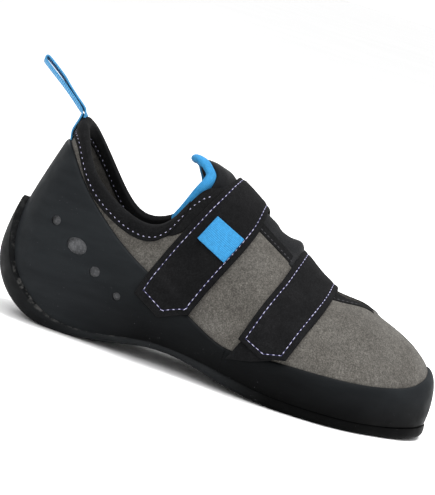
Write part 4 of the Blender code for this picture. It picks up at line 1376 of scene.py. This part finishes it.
roll_middle = []
roll_frames = []
for i in range(TONGUE_COLUMNS + 1):
    edge, within = Vector(tongue_top[i, -1]), Vector(tongue_top[i, -3])
    before, after = max(i - 1, 0), min(i + 1, TONGUE_COLUMNS)
    ahead = Vector(tongue_top[after, -1] - tongue_top[before, -1]).normalized()
    outward = ahead.cross(edge - within).normalized()
    way = outward.cross(ahead)
    roll_middle.append(edge + way * (TONGUE_ROLL + GAP) - outward * (TONGUE / 2))
    roll_frames.append((way, outward))
roll_path = open_curve(roll_middle)
roll_way = open_curve([way for way, _ in roll_frames])
roll_outward = open_curve([outward for _, outward in roll_frames])
ROLL_LONG = sum((b - a).length for a, b in zip(roll_middle, roll_middle[1:]))
print(f"the rolled edge is {ROLL_LONG:.1f} mm long")

# %% [markdown]
# A flat grid is wrapped round that line into a tube. Its two long edges meet and are merged, and its ends
# are filled.

# %% Rolled edge of the tongue
ROLL_FLAT = (0.56, 0.1)  # share of its length where it starts to lie flat, and over how much
ROLL_ROUND = 18.0  # about its girth, for the weave


def roll_at(column, angle):
    """A point of the roll, which thins out towards its ends and down its medial side."""
    share = crowd_ends(column, 0.6)
    far = min(share, 1 - share) * ROLL_LONG
    end = rounded(far, 2.0) * (0.45 + 0.55 * smooth_step(far / 18))
    size = (0.1 + 0.9 * end) * float(np.interp(share, *zip(*ROLL_SIZE)))
    medial = smooth_step((share - ROLL_FLAT[0]) / ROLL_FLAT[1])
    middle = roll_path(share) - roll_way(share) * medial * (TONGUE_ROLL + GAP - 0.3)
    middle += roll_outward(share) * medial * TONGUE * 0.4
    wide = roll_way(share) * ROLL_WIDE * size * math.cos(angle)
    return middle + wide + roll_outward(share) * ROLL_OUT * size * math.sin(angle)


def make_roll():
    grid = bmesh.new()
    bmesh.ops.create_grid(grid, x_segments=ROLL_COLUMNS, y_segments=ROLL_SIDES, size=0.5)
    flat = grid.loops.layers.uv.new("cloth")
    for face in grid.faces:
        for loop in face.loops:
            loop[flat].uv = ((loop.vert.co.x + 0.5) * ROLL_LONG, (loop.vert.co.y + 0.5) * ROLL_ROUND)
    for vert in grid.verts:
        vert.co = to_frame(roll_at(vert.co.x + 0.5, (vert.co.y + 0.5) * 2 * math.pi))
    bmesh.ops.remove_doubles(grid, verts=grid.verts, dist=0.01 * MM)
    bmesh.ops.holes_fill(grid, edges=grid.edges, sides=0)
    bmesh.ops.recalc_face_normals(grid, faces=grid.faces)
    return finish_piece("tongue_edge_skin", grid, [blue_webbing], ["tongue_edge"])


tongue_edge = make_roll()

# %% [markdown]
# ## Pull loop
# A strip of blue webbing is sewn in behind the collar, stands up in a narrow loop and comes back down
# inside. Its route is a list of points, and the strip is thin across its route and wide
# across the heel.

# %% Pull loop
LOOP_WIDE = 10.0
WEBBING = 1.0
LOOP_OUTSIDE = [(13.4, 0.2), (10.6, 1.6), (8.2, 2.4), (4.0, 2.5), (0.5, 2.5)]
LOOP_FREE = [
    (20.5, 115.2),
    (17.7, 118.2),
    (8.4, 125.6),
    (-1.8, 132.7),
    (-6.4, 135.9),
    (-7.4, 137.0),
    (-6.1, 137.6),
    (4.0, 130.7),
    (9.0, 126.2),
    (14.0, 122.0),
    (19.0, 118.1),
    (21.3, 115.7),
    (22.1, 113.2),
]
LOOP_TWIST = 18.8
LOOP_ACROSS = Vector((0.61, 0.0, 0.79))
LOOP_CUP = 36.0  # twice the heel's radius under the sewn end
LOOP_LENGTH_ROWS = 160

loop_sewn = [on_last(HEEL, share_back(HEEL, 1.0, below), lift) for below, lift in LOOP_OUTSIDE]
loop_route = open_curve([*loop_sewn, *((x, 0.0, z) for x, z in LOOP_FREE)])
loop_points = [loop_route(k / LOOP_LENGTH_ROWS) for k in range(LOOP_LENGTH_ROWS + 1)]
LOOP_LONG = sum((b - a).length for a, b in zip(loop_points, loop_points[1:]))
LOOP_ROOT = (len(loop_sewn) - 1) / (len(loop_sewn) + len(LOOP_FREE) - 1)


def loop_face(top):
    def at(column, row):
        point = loop_route(row)
        way = (loop_route(row + 0.004) - loop_route(row - 0.004)).normalized()
        free = smooth_step((row - LOOP_ROOT) / 0.12) * smooth_step((1 - row) / 0.1)
        turn = math.radians(LOOP_TWIST) * free
        across_way = Vector((0, math.cos(turn), 0)) - LOOP_ACROSS * math.sin(turn)
        out = way.cross(across_way).normalized()
        wide = math.sin((column - 0.5) * math.pi) / 2
        thick = WEBBING * (0.5 + (top - 0.5) * rounded((0.5 - abs(wide)) * LOOP_WIDE, 0.5))
        cup = (wide * LOOP_WIDE) ** 2 / LOOP_CUP * (1 - smooth_step((row - LOOP_ROOT) / 0.1))
        return point + across_way * wide * LOOP_WIDE + out * thick + Vector((cup, 0, 0))

    return at


print(f"the loop's webbing is {LOOP_LONG:.1f} mm long")
shell(
    "pull_loop_skin", 16, LOOP_LENGTH_ROWS, loop_face(0), loop_face(1),
    [pale_webbing], "blue_webbing", ["pull_loop"], (LOOP_WIDE, LOOP_LONG),
)

# %% [markdown]
# ## Throat facing
# A strip of black leather edges the throat on both sides and meets at its front end. Between the collar
# and the rear strap it widens and carries on the collar's band. It lies on the upper below the straps, so
# it is thinner than the gap under them. Its width is a short table of sections and millimetres for each
# side.

# %% Throat facing
FACING_THICK = 0.42
FACING_OFF = 0.03  # its lower face off the suede
FACING_WIDE = {
    -1: [
        (5.7, 7.6), (6.0, 9.5), (6.3, 14.5), (6.6, 19.0), (7.0, 20.0), (7.5, 17.0), (8.2, 9.0), (8.7, 6.5),
        (12.6, 6.0),
    ],
    1: [
        (5.7, 7.4), (6.3, 10.0), (7.0, 11.0), (8.2, 8.0), (9.0, 6.5), (10.2, 7.5), (11.0, 12.0),
        (12.6, 13.0),
    ],
}


def facing_point(side, station, down, lift):
    w = HEEL + side * station
    share = share_back(w, 1.0, down)
    return on_last(w, share, creased(w, share) + lift)


def facing_face(side, top):
    stations, widths = zip(*FACING_WIDE[side])

    def at(column, row):
        station = stations[0] + column * (stations[-1] - stations[0])
        wide = float(np.interp(station, stations, widths))
        down = wide * (1 - crowd_ends(row, 0.5))
        rim = rounded(wide - down, 0.5)
        thick = FACING_THICK * (0.2 + 0.8 * rim) if top else 0.0
        return facing_point(side, station, down, FACING_OFF + thick)

    return at


for side, name in ((-1, "throat_facing_lateral"), (1, "throat_facing_medial")):
    shell(name, 160, 20, facing_face(side, 0), facing_face(side, 1), [black_suede], "black_suede")

# %% [markdown]
# ## Stitches
# A seam shows as a row of short thread crests. Each stitch is a small stretched ball laid along the seam,
# with few faces, because there are hundreds.

# %% Stitch helpers
STITCH_PITCH = 3.2
STITCH_LONG = 2.5
STITCH_THICK = 0.44


def spread_along(points, pitch):
    """Points and directions at an even pitch along a line of points."""
    points = np.array(points)
    run = np.append(0, np.cumsum(np.linalg.norm(np.diff(points, axis=0), axis=1)))
    count = max(2, round(run[-1] / pitch))
    at = (np.arange(count) + 0.5) * run[-1] / count
    middle = np.stack([np.interp(at, run, points[:, axis]) for axis in range(3)], axis=1)
    ahead = np.stack([np.interp(at + 0.4, run, points[:, axis]) for axis in range(3)], axis=1)
    behind = np.stack([np.interp(at - 0.4, run, points[:, axis]) for axis in range(3)], axis=1)
    return [(Vector(m), Vector(a - b).normalized()) for m, a, b in zip(middle, ahead, behind)]


def sew(name, lines, finish, slot, pitch=STITCH_PITCH, long=STITCH_LONG, thick=STITCH_THICK):
    """A row of stitches along each line, a list of points with a list of ways out of the surface."""
    grid = bmesh.new()
    for points, outs in lines:
        run = np.array(points)
        for middle, along in spread_along(points, pitch):
            nearest = int(np.argmin(np.linalg.norm(run - np.array(middle), axis=1)))
            side = along.cross(outs[nearest]).normalized()
            out = side.cross(along)
            turn = Matrix((side * thick / 2, out * thick / 2, along * long / 2)).transposed().to_4x4()
            at = Matrix.Translation(to_frame(middle)) @ Matrix.Scale(MM, 4) @ turn
            bmesh.ops.create_uvsphere(grid, u_segments=6, v_segments=4, radius=1.0, matrix=at)
    bmesh.ops.recalc_face_normals(grid, faces=grid.faces)
    return finish_piece(name, grid, [finish])


def lay_line(lay, places, step=0.004):
    """Points and ways out along places of a laid surface, each place a column and a row."""
    points, outs = [], []
    for column, row in places:
        here = lay(column, row)
        points.append(here)
        across_way = lay(min(column + step, 1.0), row) - lay(max(column - step, 0.0), row)
        up_way = lay(column, min(row + step, 1.0)) - lay(column, max(row - step, 0.0))
        outs.append(up_way.cross(across_way).normalized())
    return points, outs


print("stitch helpers ready")

# %% [markdown]
# Each strap is sewn all round, and a thin dark violet line shows between its stitches: the under-thread,
# and painted shade in the seam. The seam's line is read off the strap's own upper face, so it bends with
# the strap and follows its cut corner.

# %% Strap seams
# size of the under-thread and its painted seam shade
UNDER_THREAD_AND_SHADE = {"pitch": 1.5, "long": 1.9, "thick": 0.4}


def strap_seam(band):
    """The seam line of a strap, all round it: rear rim, lateral end, front rim and medial end."""
    inset = 1 - STRAP_SEAM / band.half
    turn = np.linspace(-inset, inset, 41)
    last = {wide: band.high - band.start(wide) - STRAP_SEAM for wide in turn}
    spots = [(far, -inset) for far in np.linspace(last[turn[0]], STRAP_SEAM, 160)]
    spots += [(STRAP_SEAM, wide) for wide in turn[1:-1]]
    spots += [(far, inset) for far in np.linspace(STRAP_SEAM, last[turn[-1]], 160)]
    spots += [(last[wide], wide) for wide in turn[-2:0:-1]]
    points = [band.at(far, wide, 1) for far, wide in spots]
    outs = []
    for far, wide in spots:
        outs.append((band.at(far, wide, 1) - band.at(far, wide, 0)).normalized())
    return points, outs


rear_seam, front_seam = strap_seam(rear_band), strap_seam(front_band)
sew("strap_rear_stitches", [rear_seam], lilac_thread, "black_suede")
sew("strap_front_stitches", [front_seam], lilac_thread, "black_suede")
# the violet line between the stitches: under-thread and painted shade in the seam
sew("strap_under_thread_and_shade", [rear_seam, front_seam], violet_thread_and_shade, "black_suede", **UNDER_THREAD_AND_SHADE)

# %% [markdown]
# The collar's band is sewn with short pale stitches, outside and inside. The outer seam carries on along
# the facing up to the rear strap. Between the straps the facing has a row of dark stitches on each side.

# %% Collar and facing seams
COLLAR_SEAM = 2 / 12  # share of the band's profile at its outer seam
DOT_PITCH = 3.1
DOT_LONG = 1.15
DOT_THICK = 0.45
FACING_SEAM = [(6.56, 5.7), (6.9, 6.2), (7.3, 5.6)]  # section, and distance from the throat's edge
DARK_SEAM = (8.6, 11.9, 4.4)  # from section, to section, distance from the throat's edge
DARK_STITCH = {"pitch": 2.6, "long": 1.6, "thick": 0.5}


def facing_seam(side, places):
    """A seam on the facing, each place a section and a distance from the throat's edge."""
    stations, downs = zip(*places)
    points, outs = [], []
    for station in np.linspace(stations[0], stations[-1], 90):
        down = float(np.interp(station, stations, downs))
        here = facing_point(side, station, down, FACING_THICK)
        points.append(here)
        outs.append((facing_point(side, station, down, FACING_THICK + 1) - here).normalized())
    return points, outs


collar_columns = np.linspace(0.004, 0.996, 260)
collar_seams = []
for row in (COLLAR_SEAM, 1 - COLLAR_SEAM):
    collar_seams.append(lay_line(binding_outside, [(column, row) for column in collar_columns]))
pale_seams = [*collar_seams, facing_seam(-1, FACING_SEAM), facing_seam(1, FACING_SEAM)]
sew("collar_stitches", pale_seams, lilac_thread, "black_suede", DOT_PITCH, DOT_LONG, DOT_THICK)
dark_places = [(station, DARK_SEAM[2]) for station in DARK_SEAM[:2]]
dark_seams = [facing_seam(side, dark_places) for side in (-1, 1)]
sew("facing_stitches", dark_seams, black_thread, "black_suede", **DARK_STITCH)
